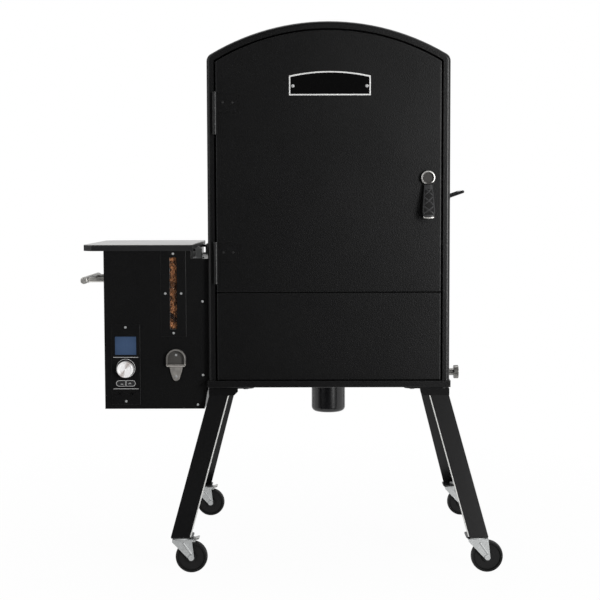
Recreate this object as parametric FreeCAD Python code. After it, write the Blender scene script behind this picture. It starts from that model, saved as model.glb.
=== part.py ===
import FreeCAD, Part
import math
import os

# Vertical pellet smoker grill: an arched, double-walled cabinet on four splayed legs with
# swivel casters, a pellet hopper on its left side and an ash cup hanging under its floor.
# Millimetres. X runs to the cabinet's right, Y from its front to its back, Z up.
# While it is built, X = 0 is the cabinet's middle, Y = 0 its front face and Z = 0 the floor.

V = FreeCAD.Vector
X, Y, Z = V(1, 0, 0), V(0, 1, 0), V(0, 0, 1)

# ---- driving dimensions: cabinet ----
cab_w = 578.0            # over the outer shell
cab_d = 470.0            # front frame to rear panel
top_z = 1303.0           # top of the arch above the floor
base_z = 434.0           # underside of the base tray
arch_r = 549.0           # outer radius of the arched top
corner_r = 20.0          # where the arch meets the sides
inner_corner_r = 5.0     # smallest corner of an inner outline
sheet = 1.6              # steel sheet of every casing
wall_gap = 22.0          # insulation between outer shell and liner
frame_w = 17.0           # visible width of the front frame
frame_d = 30.0           # depth of the front frame
bullnose_r = 8.0         # rounding of the frame's outer front edge
split_z = 662.0          # joint between door and lower front panel
seam = 0.5               # half of the slit at that joint

# ---- base tray, floor and legs ----
tray_h = 16.0
tray_lip = 10.0          # the tray stands this far in front of the cabinet
tray_side = 2.0          # and this much wider on each side
floor_z = 456.0          # underside of the inner floor
leg_w = 48.0             # each flange of the leg angles, measured level
leg_t = 3.0
splay = 0.2655           # sideways run of a leg per unit of its drop
leg_inset = 6.0          # leg corner inside the cabinet corner, at the top
top_plate_w = 108.0
top_plate_t = 4.0
bracket_w = 70.0
bracket_h = 16.0
leg_round = 1.2          # rolled edges of the leg angles
foot_t = 3.0

# ---- casters ----
wheel_d = 76.2
wheel_w = 24.0
trail = 23.0             # axle behind the swivel axis
axle_r = 4.0
kingpin_r = 5.0
fork_t = 2.5
fork_len = 47.0          # length of the fork's top plate
race_h = 4.0
lever_out = 4.5          # brake pivot behind the fork's top plate
wheel_gap = 3.0          # wheel to fork
rib_r = 3.0              # bead pressed in each fork cheek

# ---- running and seating clearances ----
run = 0.05               # radial, shaft in bore
slip = 0.3               # between faces that slide past each other
part_gap = 0.3           # between neighbours on different moving bodies

# ---- door ----
door_gap = 4.5           # door edge to frame
door_proud = 2.0
door_t = 26.0            # depth of the outer door pan
plug_inset = 8.0         # inner door pan to liner wall
plug_d = 18.0
gasket_w = 8.0
barrel_r = 5.0
pin_r = 3.0
leaf_w = 49.0
leaf_h = 42.0
leaf_t = 2.5
barrel_h = 100.0
hinge_z = (1037.0, 682.5)    # underside of each barrel
badge_w = 193.0
badge_h = 46.0           # height at its ends
badge_rise = 10.5
badge_x = 3.0
badge_z = 1128.5
badge_t = 2.5

# ---- latch ----
latch_x = 235.5
latch_z = 934.0
boss_r = 17.0
spindle_r = 7.0
grip_len = 97.0
grip_w = 30.0
cam_w = 12.0
cam_len = 45.0
cam_t = 4.0
cam_y = 8.0              # front of the cam behind the cabinet front

# ---- cooking chamber ----
rail_w = 12.0
rail_front = 54.0        # front ends of the rails
pan_level = 672.0        # rail height that carries the water pan
rack_levels = (765.0, 875.0, 985.0, 1095.0)
rack_front = 58.0
rack_bar = 6.0
wire_r = 2.0
wire_count = 15
pan_front = 70.0
pan_back = 400.0
pan_depth = 44.0
pan_rim = 22.0           # width of the pan's side rims
pan_end_rim = 14.0       # and of its front and back rims
pan_round = 10.0
roof_half = 150.0        # heat deflector over the fire pot
roof_front = 110.0
roof_back = 360.0
roof_eave = 568.0
roof_ridge = 600.0
roof_sheet = 2.0
roof_post = 20.0         # width of each of its legs

# ---- fire pot and ash dump, all on one vertical axis ----
pot_y = 235.0
pot_r = 50.0
pot_h = 75.0
pot_wall = 3.0
pot_rim = 5.0            # band round the pot's top, beyond its wall
pot_band = 4.0
air_holes = 10
air_r = 3.0
chute_r = 39.5           # bore from the pot down into the cup
collar_r = 46.0
collar_rim = 6.0         # its flange on the base, beyond the collar
neck_r = 40.7
neck_h = 14.0
cup_r = 43.0
cup_wall = 2.0
cup_z = 341.0            # underside of the cup
slide_t = 3.0
slide_half = 41.0        # half width of the dump plate
slide_z = 441.0
rod_r = 4.5
knob_r = 17.0
knob_t = 12.0
knob_reach = 45.0        # tip of the knob beyond the cabinet side

# ---- hopper ----
hop_w = 252.0
hop_d = 390.0
hop_y = 20.0             # hopper front behind the cabinet front
hop_z = 379.0            # underside
hop_top = 774.0          # rim under the lid
leg_step = 12.0          # the case's side slants in below the tray, clear of the leg
tray_gap = 0.5           # case to tray, sideways
tray_room = 2.0          # and its step stands this far over the tray
notch_w = 43.0           # step beside the cabinet that holds the lid hinges
shelf_z = 742.0
lid_h = 15.0
lid_lip = 50.0           # lid beyond the hopper's left wall
lid_side = 4.0           # lid skirt outside the front and back walls
lid_chamfer = 22.0
lid_pin_x = 27.0         # lid pins off the cabinet side
lid_pin_z = 762.0
feed_z = 484.0           # auger axis
auger_r = 21.0
tube_r = 24.0
auger_pitch = 52.0
funnel_z = 566.0         # where the bin starts to narrow
bin_gap = 2.0            # bin wall to case wall
fan_shaft_r = 4.0
fan_dx = 125.0           # blower axis off the hopper's left wall
fan_drop = 16.0          # and below the inner floor
scroll_r = 50.0
eye_r = 26.0
impeller_r = 42.0
blade_len = 20.0
fan_motor_r = 20.0
fan_motor_len = 22.0
duct_dy = 65.0           # air duct behind the fire pot's axis
duct_w = 35.0
duct_h = 28.0
duct_rise = 6.0          # and above the inner floor
mouth_dx = 60.0          # end of the feed tube off the hopper's left wall
gearbox_l = 26.0
inlet_dx = 110.0         # power inlet on the back, off the same wall
inlet_z = 411.0
inlet_w = 50.0
inlet_h = 32.0
socket_w = 41.0
socket_h = 23.0
socket_d = 22.0
well_w = 24.0
well_h = 16.0
well_d = 17.0

# ---- hopper front ----
window_x = -374.0
window_w = 17.0
window_h = 173.0
window_z = 572.0
bezel_w = 62.0
bezel_h = 209.0
bezel_t = 2.0
panel_x = -490.0
panel_w = 70.0
panel_h = 194.0
panel_z = 389.0
panel_t = 2.0
screen_w = 51.0
screen_h = 44.0
screen_z = 510.5
dial_r = 19.5
dial_z = 476.5
dial_h = 18.0
keys_w = 47.0            # the two keys together form one stadium
keys_h = 15.0
keys_z = 434.0
key_travel = 1.5
jack_r = 1.8             # bore of a probe jack
jack_wall = 2.8
jack_z = 416.0
jack_dx = 15.0
opener_x = -368.5
opener_z = 447.5
opener_h = 77.0
opener_w = 47.0
opener_drop = 16.0       # lip bar below the middle of the round top
opener_d = 12.0
opener_rim = 3.5
opener_plate = 4.0
lip_r = 3.2
shield_w = 33.0          # at the lip bar
shield_mid = 28.0        # where it starts to taper
shield_t = 6.0
bar_r = 8.5
bar_len = 220.0
bar_z = 690.0
bar_reach = 47.0         # bar axis off the hopper wall
screw_r = 3.0

# ---- back and sides ----
stack_r = 38.0
stack_z = 1120.0         # flue elbow's middle
stack_h = 142.0          # upright pipe above the elbow's middle
side_z = 889.0
side_rise = 12.0
side_reach = 34.0
side_y = 40.0
side_len = 110.0
side_r = 3.5

# ---- derived places ----
half = cab_w / 2
tray_top = base_z + tray_h
tray_floor = base_z + sheet
arch_mid = top_z - arch_r
liner_in = sheet + wall_gap
chamber = half - liner_in - sheet
liner_back = cab_d - sheet - wall_gap
door_in = frame_w + door_gap
door_half = half - door_in
hinge_x = -door_half - door_gap / 2 + 0.2
hinge_y = -door_proud - barrel_r
back_y = door_t - door_proud
hop_x0 = -half - hop_w
hop_y1 = hop_y + hop_d
wheel_r = wheel_d / 2
fork_z = wheel_d + wheel_gap
foot_z = fork_z + fork_t + race_h + part_gap
stack_top = stack_z + stack_h


# ---- small helpers ----
def box(x0, x1, y0, y1, z0, z1):
    return Part.makeBox(x1 - x0, y1 - y0, z1 - z0, V(x0, y0, z0))


def rod(start, direction, radius, length):
    return Part.makeCylinder(radius, length, start, direction)


def tube(start, direction, outer, inner, length):
    return rod(start, direction, outer, length).cut(rod(start, direction, inner, length))


def prism(points, sweep):
    """Extrude the closed polygon through points along the vector sweep."""
    return Part.Face(Part.makePolygon(points + points[:1])).extrude(sweep)


def arch_outline(inset, y, z_low):
    """The cabinet's front outline, moved inwards by inset: two sides, two corners, one arc."""
    w = half - inset
    big = arch_r - inset
    small = max(corner_r - inset, inner_corner_r)
    cx = w - small
    cz = arch_mid + math.sqrt((big - small) ** 2 - cx ** 2)
    lean = math.atan2(cz - arch_mid, cx)
    turn = V(math.cos(lean), 0, math.sin(lean))
    mid = V(math.cos(lean / 2), 0, math.sin(lean / 2))
    corner = V(cx, y, cz)
    right = [V(w, y, cz), corner + mid * small, corner + turn * small]
    left = [V(-p.x, p.y, p.z) for p in reversed(right)]
    foot_r, foot_l = V(w, y, z_low), V(-w, y, z_low)
    edges = [
        Part.LineSegment(foot_l, foot_r),
        Part.LineSegment(foot_r, right[0]),
        Part.Arc(*right),
        Part.Arc(right[2], V(0, y, arch_mid + big), left[0]),
        Part.Arc(*left),
        Part.LineSegment(left[2], foot_l),
    ]
    return Part.Wire([edge.toShape() for edge in edges])


def arch(inset, y0, y1, z_low):
    return Part.Face(arch_outline(inset, y0, z_low)).extrude(Y * (y1 - y0))


def round_front(shape, y, radius, keep_bottom=None):
    """Round the edges that lie in the plane Y = y, but not one at the height keep_bottom."""
    edges = []
    for edge in shape.Edges:
        box_ = edge.BoundBox
        flat = abs(box_.YMin - y) < 1e-4 and abs(box_.YMax - y) < 1e-4
        low = keep_bottom is not None and abs(box_.ZMax - keep_bottom) < 1e-4
        if flat and not low:
            edges.append(edge)
    return shape.makeFillet(radius, edges)


def fuse(shapes):
    return shapes[0].multiFuse(shapes[1:]).removeSplitter()


def mirror_x(shape):
    return shape.mirror(V(0, 0, 0), X)


def screw(x, y, z):
    """A pan-head screw in a panel that faces -Y: its head lies on the face at y."""
    head = rod(V(x, y, z), -Y, screw_r, 1.8)
    head = round_front(head, y - 1.8, 1.2)
    return head.cut(box(x - 2.2, x + 2.2, y - 3, y - 1.3, z - 0.4, z + 0.4))


# ---- cabinet ----
def make_front_frame():
    """Hollow formed frame round door and lower panel, with a bullnose outside."""
    z0 = tray_floor
    ring = round_front(arch(0, 0, frame_d, z0), 0, bullnose_r, z0)
    ring = ring.cut(arch(frame_w, -1, frame_d + 1, z0 - 1))
    hollow = round_front(arch(sheet, sheet, frame_d + 1, z0 - 1), sheet, bullnose_r - sheet, z0 - 1)
    hollow = hollow.cut(arch(frame_w - sheet, 0, frame_d + 2, z0 - 2))
    return ring.cut(hollow).cut(cam_slot(door_half, half - sheet - 2))


def cam_slot(x0, x1):
    """Room for the latch cam between x0 and x1, from its level place to where it swings clear."""
    rise = math.sqrt(cam_len ** 2 - (door_half - latch_x) ** 2) + cam_w / 2
    return box(x0, x1, cam_y - 3, cam_y + cam_t + 5, latch_z - cam_w, latch_z + rise)


def make_outer_shell():
    """One sheet bent over sides and arch, open at the front, back and bottom."""
    shell = arch(0, frame_d, cab_d, tray_floor).cut(arch(sheet, frame_d - 1, cab_d + 1, base_z))
    return shell.cut(side_ports(0.4))


def side_ports(room):
    """Ports through the cabinet's sides: auger tube, air duct and the ash rod."""
    auger = rod(V(-half - 5, pot_y, feed_z), X, tube_r + room, liner_in + 10)
    y0, y1, z0, z1 = duct_section()
    duct = box(-half - 5, -chamber + 5, y0 - room, y1 + room, z0 - room, z1 + room)
    ash = rod(V(chamber - 5, pot_y, slide_z), X, rod_r + slip, liner_in + 20)
    return fuse([auger, duct, ash])


def make_inner_liner():
    """Arched inner box with its back wall, a front sealing flange and a sill under the door."""
    z0 = tray_floor
    y0 = frame_d
    wrap = arch(liner_in, y0, liner_back, z0).cut(
        arch(liner_in + sheet, y0 - 1, liner_back - sheet, z0 - 1))
    flange = arch(sheet, y0, y0 + sheet, z0).cut(arch(liner_in + sheet, y0 - 1, y0 + 5, z0 - 1))
    sill = box(-chamber, chamber, y0, y0 + sheet, split_z - 32, split_z + 8)
    lip = box(-chamber, chamber, y0, y0 + 14, split_z - 32, split_z - 32 + sheet)
    vent = rod(V(0, liner_back + 5, stack_z), -Y, stack_r + slip, 20)
    return fuse([wrap, flange, sill, lip]).cut(fuse([side_ports(0.4), vent]))


def make_rear_panel():
    """Flat back with a rolled edge, a flue port and two rows of stiffening beads."""
    panel = arch(sheet, cab_d - sheet, cab_d, tray_floor)
    rim = arch(sheet, cab_d - 12, cab_d, tray_floor).cut(arch(2 * sheet, cab_d - 13, cab_d + 1, base_z))
    beads = []
    for z in (560, 700, 840, 980):
        beads.append(box(-200, 200, cab_d - sheet, cab_d + 2, z - 6, z + 6))
    flue = rod(V(0, cab_d + 10, stack_z), -Y, stack_r + slip, 30)
    return fuse([panel, rim] + beads).cut(flue)


def make_floor_pan():
    """Inner floor with a down-turned rim and a hole for the ash collar."""
    inset = liner_in + sheet
    w = half - inset
    y0, y1 = frame_d + sheet, liner_back - sheet
    pan = box(-w, w, y0, y1, floor_z - 12, floor_z + sheet)
    pan = pan.cut(box(-w + sheet, w - sheet, y0 + sheet, y1 - sheet, floor_z - 13, floor_z))
    hole = rod(V(0, pot_y, floor_z - 5), Z, collar_r + part_gap, 10)
    return pan.cut(hole).cut(rod(V(w - 5, pot_y, slide_z), X, rod_r + slip, 10))


def make_base_frame():
    """Folded tray under the cabinet, with a closed lip in front."""
    w = half + tray_side
    y0, y1 = -tray_lip, cab_d + tray_side
    tray = box(-w, w, y0, y1, base_z, tray_top)
    front_edges = [e for e in tray.Edges if abs(e.BoundBox.YMax - y0) < 1e-4]
    tray = tray.makeFillet(2.0, front_edges)
    tray = tray.cut(box(-half, half, 0, cab_d, tray_floor, tray_top + 1))
    tray = tray.cut(box(-w + sheet, w - sheet, y0 + sheet, 0.1, tray_floor, tray_top - sheet))
    chute = rod(V(0, pot_y, base_z - 1), Z, collar_r, 5)
    ash = rod(V(half - 5, pot_y, slide_z), X, rod_r + slip, 15)
    return tray.cut(chute).cut(ash)


def make_lower_front_panel():
    """Fixed panel below the door: a shallow pan with rounded front edges."""
    z0, z1 = tray_top + seam, split_z - seam
    pan = box(-door_half, door_half, -door_proud, frame_d, z0, z1)
    pan = round_front(pan, -door_proud, 2.5)
    hollow = box(-door_half + sheet, door_half - sheet, sheet - door_proud, frame_d + 1,
                 z0 + sheet, z1 - sheet)
    flanges = box(-door_half, door_half, frame_d - sheet, frame_d, z0, z1)
    flanges = flanges.cut(box(-door_half + 20, door_half - 20, 0, frame_d + 1, z0 - 1, z1 + 1))
    return fuse([pan.cut(hollow), flanges])


def make_rack_rails():
    """Pairs of bent rails on the liner's sides: one for the pan and one per rack."""
    rails = []
    y1 = liner_back - sheet
    for z in (pan_level,) + rack_levels:
        upright = box(-chamber, -chamber + sheet, rail_front, y1, z - rail_w, z)
        shelf = box(-chamber, -chamber + rail_w, rail_front, y1, z - sheet, z)
        rail = fuse([upright, shelf])
        rails += [rail, mirror_x(rail)]
    return Part.makeCompound(rails)


def make_cooking_racks():
    """Wire racks: a square-bar rim with wires from front to back, one rack per level."""
    w = chamber - 3
    y0, y1 = rack_front, liner_back - sheet - 3
    racks = []
    for z in rack_levels:
        rim = box(-w, w, y0, y1, z, z + rack_bar)
        rim = rim.cut(box(-w + rack_bar, w - rack_bar, y0 + rack_bar, y1 - rack_bar, z - 1, z + 10))
        cross = box(-w + rack_bar, w - rack_bar, pot_y - 3, pot_y + 3, z, z + rack_bar / 2)
        pitch = 2 * w / (wire_count + 1)
        wires = []
        for n in range(wire_count):
            x = -w + pitch * (n + 1)
            wires.append(rod(V(x, y0 + rack_bar, z + rack_bar / 2), Y, wire_r, y1 - y0 - 2 * rack_bar))
        racks.append(fuse([rim, cross] + wires))
    return Part.makeCompound(racks)


def make_water_pan():
    """Deep drip and water pan hanging by its rim on the lowest rails."""
    w, z = chamber - 4, pan_level
    shapes = []
    for t, top in ((0, z + sheet), (sheet, z + 5)):
        body = box(-w + pan_rim + t, w - pan_rim - t, pan_front + pan_end_rim + t,
                   pan_back - pan_end_rim - t, z - pan_depth + t, top)
        edges = [e for e in body.Edges if e.BoundBox.ZMax < top - 0.1 or e.BoundBox.ZLength > 10]
        shapes.append(body.makeFillet(pan_round - t, edges))
    rim = box(-w, w, pan_front, pan_back, z, z + sheet)
    return fuse([shapes[0], rim]).cut(shapes[1])


def make_heat_deflector():
    """Folded roof over the fire pot, standing on four legs."""
    w, y0, y1, t = roof_half, roof_front, roof_back, roof_sheet
    outer = [V(-w, y0, roof_eave), V(0, y0, roof_ridge), V(w, y0, roof_eave),
             V(w, y0, roof_eave - t), V(0, y0, roof_ridge - t), V(-w, y0, roof_eave - t)]
    roof = prism(outer, Y * (y1 - y0))
    legs = []
    for x in (-w, w - t):
        for y in (y0, y1 - roof_post):
            legs.append(box(x, x + t, y, y + roof_post, floor_z + sheet, roof_eave - t / 2))
    return fuse([roof] + legs)


def make_burn_pot():
    """Welded fire pot: bottom ring, wall with air holes and the auger's mouth, and rim band."""
    z0 = floor_z + sheet
    bottom = tube(V(0, pot_y, z0), Z, pot_r, chute_r, pot_wall)
    wall = tube(V(0, pot_y, z0 + pot_wall), Z, pot_r, pot_r - pot_wall, pot_h - pot_wall)
    band = tube(V(0, pot_y, z0 + pot_h - pot_band), Z, pot_r + pot_rim, pot_r, pot_band)
    cuts = [rod(V(-pot_r - 5, pot_y, feed_z), X, auger_r, 20)]
    for n in range(air_holes):
        angle = 2 * math.pi * n / air_holes
        way = V(math.cos(angle), math.sin(angle), 0)
        cuts.append(rod(V(0, pot_y, z0 + pot_h - 18) + way * (pot_r - 6), way, air_r, 10))
    return Part.makeCompound([bottom, wall.cut(fuse(cuts)), band])


# ---- ash dump ----
def make_ash_collar():
    """Rings over and under the dump plate, spacers between, a flange and a neck below."""
    gap = slide_t / 2 + slip
    low, high = slide_z - gap, slide_z + gap
    under = base_z - top_plate_t
    rings = [tube(V(0, pot_y, high), Z, collar_r, chute_r, floor_z + sheet - high),
             tube(V(0, pot_y, under), Z, collar_r, chute_r, low - under),
             tube(V(0, pot_y, under), Z, collar_r + collar_rim, collar_r, top_plate_t),
             tube(V(0, pot_y, under - neck_h), Z, neck_r, chute_r, neck_h)]
    reach = slide_half + slip
    spacers = tube(V(0, pot_y, low), Z, collar_r, chute_r, 2 * gap)
    spacers = spacers.cut(box(-reach, collar_r + 2, pot_y - reach, pot_y + reach, low - 1, high + 1))
    return Part.makeCompound(rings + spacers.Solids)


def make_ash_slide():
    """Dump plate that closes the chute, with the pull rod riveted to its edge."""
    t = slide_t / 2
    plate = box(-slide_half, slide_half + 24, pot_y - slide_half, pot_y + slide_half,
                slide_z - t, slide_z + t)
    stem_x = slide_half + 12
    pull = rod(V(stem_x, pot_y, slide_z), X, rod_r, half + knob_reach - knob_t - stem_x)
    return fuse([plate, pull])


def make_ash_knob():
    """Fluted metal knob with a neck, screwed on the end of the pull rod."""
    x1 = half + knob_reach
    x0 = x1 - knob_t
    neck = rod(V(half + tray_side + 2, pot_y, slide_z), X, 9, x0 - half - tray_side - 2)
    disc = rod(V(x0, pot_y, slide_z), X, knob_r, knob_t)
    rims = [e for e in disc.Edges if e.Length > 2 * knob_r and e.BoundBox.XLength < 0.1]
    disc = disc.makeFillet(1.5, rims)
    flutes = []
    for n in range(16):
        angle = 2 * math.pi * n / 16
        centre = V(x0 - 1, pot_y + (knob_r + 1) * math.cos(angle), slide_z + (knob_r + 1) * math.sin(angle))
        flutes.append(rod(centre, X, 2.2, knob_t + 2))
    disc = disc.cut(fuse(flutes))
    bore = rod(V(half, pot_y, slide_z), X, rod_r, x0 - half)
    return fuse([neck, disc]).cut(bore)


def make_ash_cup():
    """Deep drawn cup with a rounded bottom that slips over the collar's neck."""
    top = base_z - 4 - part_gap
    cup = rod(V(0, pot_y, cup_z), Z, cup_r, top - cup_z)
    cup = cup.makeFillet(12, [e for e in cup.Edges if e.BoundBox.ZMax < cup_z + 0.1])
    inner = rod(V(0, pot_y, cup_z + cup_wall), Z, cup_r - cup_wall, top - cup_z)
    inner = inner.makeFillet(10, [e for e in inner.Edges if e.BoundBox.ZMax < cup_z + cup_wall + 0.1])
    return cup.cut(inner)


# ---- flue and side handle ----
def make_exhaust_stack():
    """Flue elbow: a stub through the back wall and an upright pipe behind it."""
    y = cab_d + stack_r + 12
    solid = []
    hollow = []
    for shapes, radius, more in ((solid, stack_r, 0), (hollow, stack_r - sheet, 1)):
        stub = rod(V(0, liner_back - sheet - more, stack_z), Y, radius, y - liner_back + sheet + more)
        pipe = rod(V(0, y, stack_z), Z, radius, stack_h + more)
        elbow = Part.makeSphere(radius, V(0, y, stack_z))
        shapes += [stub, pipe, elbow]
    flange = rod(V(0, cab_d, stack_z), Y, stack_r + 16, 3)
    return fuse(solid + [flange]).cut(fuse(hollow))


def make_stack_cap():
    """Shallow conical rain cap on three strips that clip inside the pipe."""
    y = cab_d + stack_r + 12
    cone = Part.makeCone(stack_r + 12, 6, 14, V(0, y, stack_top + 12), Z)
    under = Part.makeCone(stack_r + 12 - 3, 3, 14, V(0, y, stack_top + 10), Z)
    strips = []
    for n in range(3):
        strip = box(stack_r - sheet - 3.5, stack_r - sheet - 2, y - 6, y + 6, stack_top - 20, stack_top + 16)
        strips.append(strip.rotate(V(0, y, 0), Z, 120 * n + 90))
    return fuse([cone.cut(under)] + strips)


def make_side_handle():
    """Bent round bar on the right side, rising a little away from the wall."""
    start = V(half, side_y, side_z)
    out = V(side_reach, 0, side_rise)
    along = Y * side_len
    arms = [rod(p, out, side_r, out.Length) for p in (start, start + along)]
    bar = rod(start + out, Y, side_r, side_len)
    balls = [Part.makeSphere(side_r, p + out) for p in (start, start + along)]
    plates = [rod(p, X, 11, 2.5) for p in (start, start + along)]
    inside = box(0, half, 0, cab_d, side_z - 30, side_z + 30)
    return fuse(arms + [bar] + balls + plates).cut(inside)


# ---- legs and casters ----
def leg_corner(z):
    """How far out of the cabinet corner a leg's outer edge stands at height z."""
    return splay * (base_z - z) - leg_inset


def make_leg():
    """Front left leg: splayed angle, bracket and top plate above, foot plate below."""
    drop = base_z - top_plate_t - foot_z - foot_t
    low = leg_corner(foot_z + foot_t)
    x0, y0, z0 = -half - low, -low, foot_z + foot_t
    ell = [V(x0, y0, z0), V(x0 + leg_w, y0, z0), V(x0 + leg_w, y0 + leg_t, z0),
           V(x0 + leg_t, y0 + leg_t, z0), V(x0 + leg_t, y0 + leg_w, z0), V(x0, y0 + leg_w, z0)]
    angle = prism(ell, V(splay, splay, 1) * drop)
    angle = angle.makeFillet(leg_round, [e for e in angle.Edges if e.BoundBox.ZLength > drop - 1])
    foot = box(x0, x0 + leg_w + 4, y0, y0 + leg_w + 4, foot_z, z0)
    foot = foot.makeFillet(6, [e for e in foot.Edges if e.BoundBox.ZLength > 1])
    top = box(-half, -half + top_plate_w, 0, top_plate_w, base_z - top_plate_t, base_z)
    top = top.makeFillet(16, [e for e in top.Edges if e.BoundBox.ZLength > 1])
    z1, z2 = base_z - top_plate_t - bracket_h, base_z - top_plate_t
    cheeks = []
    for way, across in ((X, Y), (Y, X)):
        steps = ((0, z1), (bracket_w - 9, z1), (bracket_w, z1 + 9), (bracket_w, z2), (0, z2))
        cheeks.append(prism([V(-half, 0, z) + way * reach for reach, z in steps], across * leg_t))
    swivel = rod(V(x0 + leg_w / 2, y0 + leg_w / 2, foot_z - 1), Z, kingpin_r + run, foot_t + 2)
    return fuse([angle, foot, top] + cheeks).cut(swivel)


def leg_places():
    """Sign of X and Y of the four corners: left or right, front or rear."""
    return {"front_left": (1, 1), "front_right": (-1, 1), "rear_left": (1, -1), "rear_right": (-1, -1)}


def set_corner(shape, place):
    """Mirror a front left piece into another corner of the cabinet."""
    flip_x, flip_y = leg_places()[place]
    if flip_x < 0:
        shape = mirror_x(shape)
    if flip_y < 0:
        shape = shape.mirror(V(0, cab_d / 2, 0), Y)
    return shape


def swivel_axis(place):
    """Where a caster turns, on the underside of its foot plate."""
    low = leg_corner(foot_z + foot_t)
    flip_x, flip_y = leg_places()[place]
    x = flip_x * (-half - low + leg_w / 2)
    y = -low + leg_w / 2
    if flip_y < 0:
        y = cab_d - y
    return V(x, y, foot_z)


def make_fork(place):
    """Stamped fork: race, top plate, two tapering cheeks, axle bolt and kingpin."""
    at = swivel_axis(place)
    inner = wheel_w / 2 + 2
    outer = inner + fork_t
    x0, x1 = -fork_len / 2 + 2, fork_len / 2 + 2
    end_r = 7.0
    cheek = [V(x0, -outer, fork_z + fork_t), V(x0, -outer, fork_z - 4),
             V(trail - end_r, -outer, wheel_r - 2), V(trail + end_r, -outer, wheel_r - 2),
             V(x1, -outer, fork_z - 4), V(x1, -outer, fork_z + fork_t)]
    foot, head = V(trail, -outer + 1, wheel_r + 10), V(6, -outer + 1, fork_z - 7)
    rib = fuse([rod(foot, head - foot, rib_r, (head - foot).Length),
                Part.makeSphere(rib_r, foot), Part.makeSphere(rib_r, head)])
    rib = rib.common(box(x0, x1 + 10, -outer - rib_r, -outer + 1, 0, fork_z))
    side = fuse([prism(cheek, Y * fork_t), rod(V(trail, -outer, wheel_r), Y, end_r, fork_t), rib])
    other = side.mirror(V(0, 0, 0), Y)
    top = box(x0, x1, -outer, outer, fork_z, fork_z + fork_t)
    race = rod(V(0, 0, fork_z + fork_t), Z, 21, race_h)
    axle = rod(V(trail, -outer - 3, wheel_r), Y, axle_r, 2 * outer + 6)
    heads = [rod(V(trail, y, wheel_r), Y, 6.5, 3) for y in (-outer - 3, outer)]
    kingpin = rod(V(0, 0, fork_z), Z, kingpin_r, fork_t + race_h + foot_t + 1)
    nut = rod(V(0, 0, foot_z + foot_t + part_gap), Z, 8, 4)
    kingpin = fuse([kingpin, nut])
    parts = [side, other, top, race, axle, kingpin] + heads
    if place.endswith("left"):
        for y in (-outer, inner):
            parts.append(box(x1 - 4, x1 + lever_out + 3, y, y + fork_t, fork_z - 3, fork_z + fork_t))
    fork = fuse(parts)
    if place.endswith("left"):
        fork = fork.cut(rod(V(x1 + lever_out, -outer - 1, fork_z), Y, 1.5 + run, 2 * outer + 2))
    return fork.translate(V(at.x, at.y, 0))


def make_wheel(place):
    """Wheel with a crowned tread, recessed sides and a hub that runs on the axle."""
    at = swivel_axis(place)
    w = wheel_w / 2
    bore = axle_r + run
    half_section = [(bore, -w - 1), (12, -w - 1), (13, -w + 4), (wheel_r - 8, -w + 4),
                    (wheel_r - 6, -w), (wheel_r - 2, -w)]
    points = [V(r, y, 0) for r, y in half_section]
    edges = [Part.LineSegment(a, b) for a, b in zip(points, points[1:])]
    edges.append(Part.Arc(points[-1], V(wheel_r, 0, 0), V(wheel_r - 2, w, 0)))
    back = [V(r, -y, 0) for r, y in reversed(half_section)]
    edges += [Part.LineSegment(a, b) for a, b in zip(back, back[1:])]
    edges.append(Part.LineSegment(back[-1], points[0]))
    wheel = Part.Face(Part.Wire([e.toShape() for e in edges])).revolve(V(0, 0, 0), Y, 360)
    return Part.Solid(wheel).translate(V(at.x + trail, at.y, wheel_r))


def make_brake_lever(place):
    """Pedal on a cross pin at the back of the fork; pressed, its toe nears the wheel."""
    at = swivel_axis(place)
    x1 = fork_len / 2 + 2 + lever_out
    w = wheel_w / 2 + 2 - slip
    pivot = rod(V(x1, -w, fork_z), Y, 3, 2 * w)
    pin = rod(V(x1, -w - fork_t - slip, fork_z), Y, 1.5, 2 * (w + fork_t + slip))
    pedal = prism([V(x1, -w, fork_z + 3), V(x1 + 11, -w, fork_z + 6), V(x1 + 12, -w, fork_z + 3),
                   V(x1, -w, fork_z)], Y * 2 * w)
    return fuse([pivot, pin, pedal]).translate(V(at.x, at.y, 0))


# ---- door ----
def door_plate(inset, y0, y1, z_low):
    return arch(door_in + inset, y0, y1, z_low)


def make_door_outer():
    """Arched pan with rounded front edges, a spindle hole and a slot for the latch cam."""
    z0 = split_z + seam
    pan = round_front(door_plate(0, -door_proud, back_y, z0), -door_proud, 2.5)
    pan = pan.cut(door_plate(sheet, sheet - door_proud, back_y + 1, z0 + sheet))
    spindle = rod(V(latch_x, -door_proud - 1, latch_z), Y, spindle_r + run, 5)
    return pan.cut(spindle).cut(cam_slot(door_half - 5, door_half + 5))


def make_door_inner():
    """Inner door: a flat plate on the pan's back and a raised insulating plug."""
    z0 = split_z + seam
    plate = door_plate(0, back_y, back_y + sheet, z0)
    inset = liner_in + sheet + plug_inset - door_in
    low = split_z + 16
    plug = door_plate(inset, back_y + sheet, back_y + sheet + plug_d, low)
    plug = plug.makeFillet(4, [e for e in plug.Edges if e.BoundBox.YMin > back_y + sheet + plug_d - 0.1])
    hollow = door_plate(inset + sheet, back_y - 1, back_y + plug_d, low + sheet)
    return fuse([plate, plug]).cut(hollow)


def make_door_gasket():
    """Rope seal on the inner door that meets the liner's front flange."""
    y0, y1 = back_y + sheet, frame_d - part_gap
    z0 = split_z + seam + 1
    ring = door_plate(1, y0, y1, z0)
    return ring.cut(door_plate(1 + gasket_w, y0 - 1, y1 + 1, z0 + gasket_w))


def hinge_lower_h():
    return barrel_h - leaf_h - 6


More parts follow.
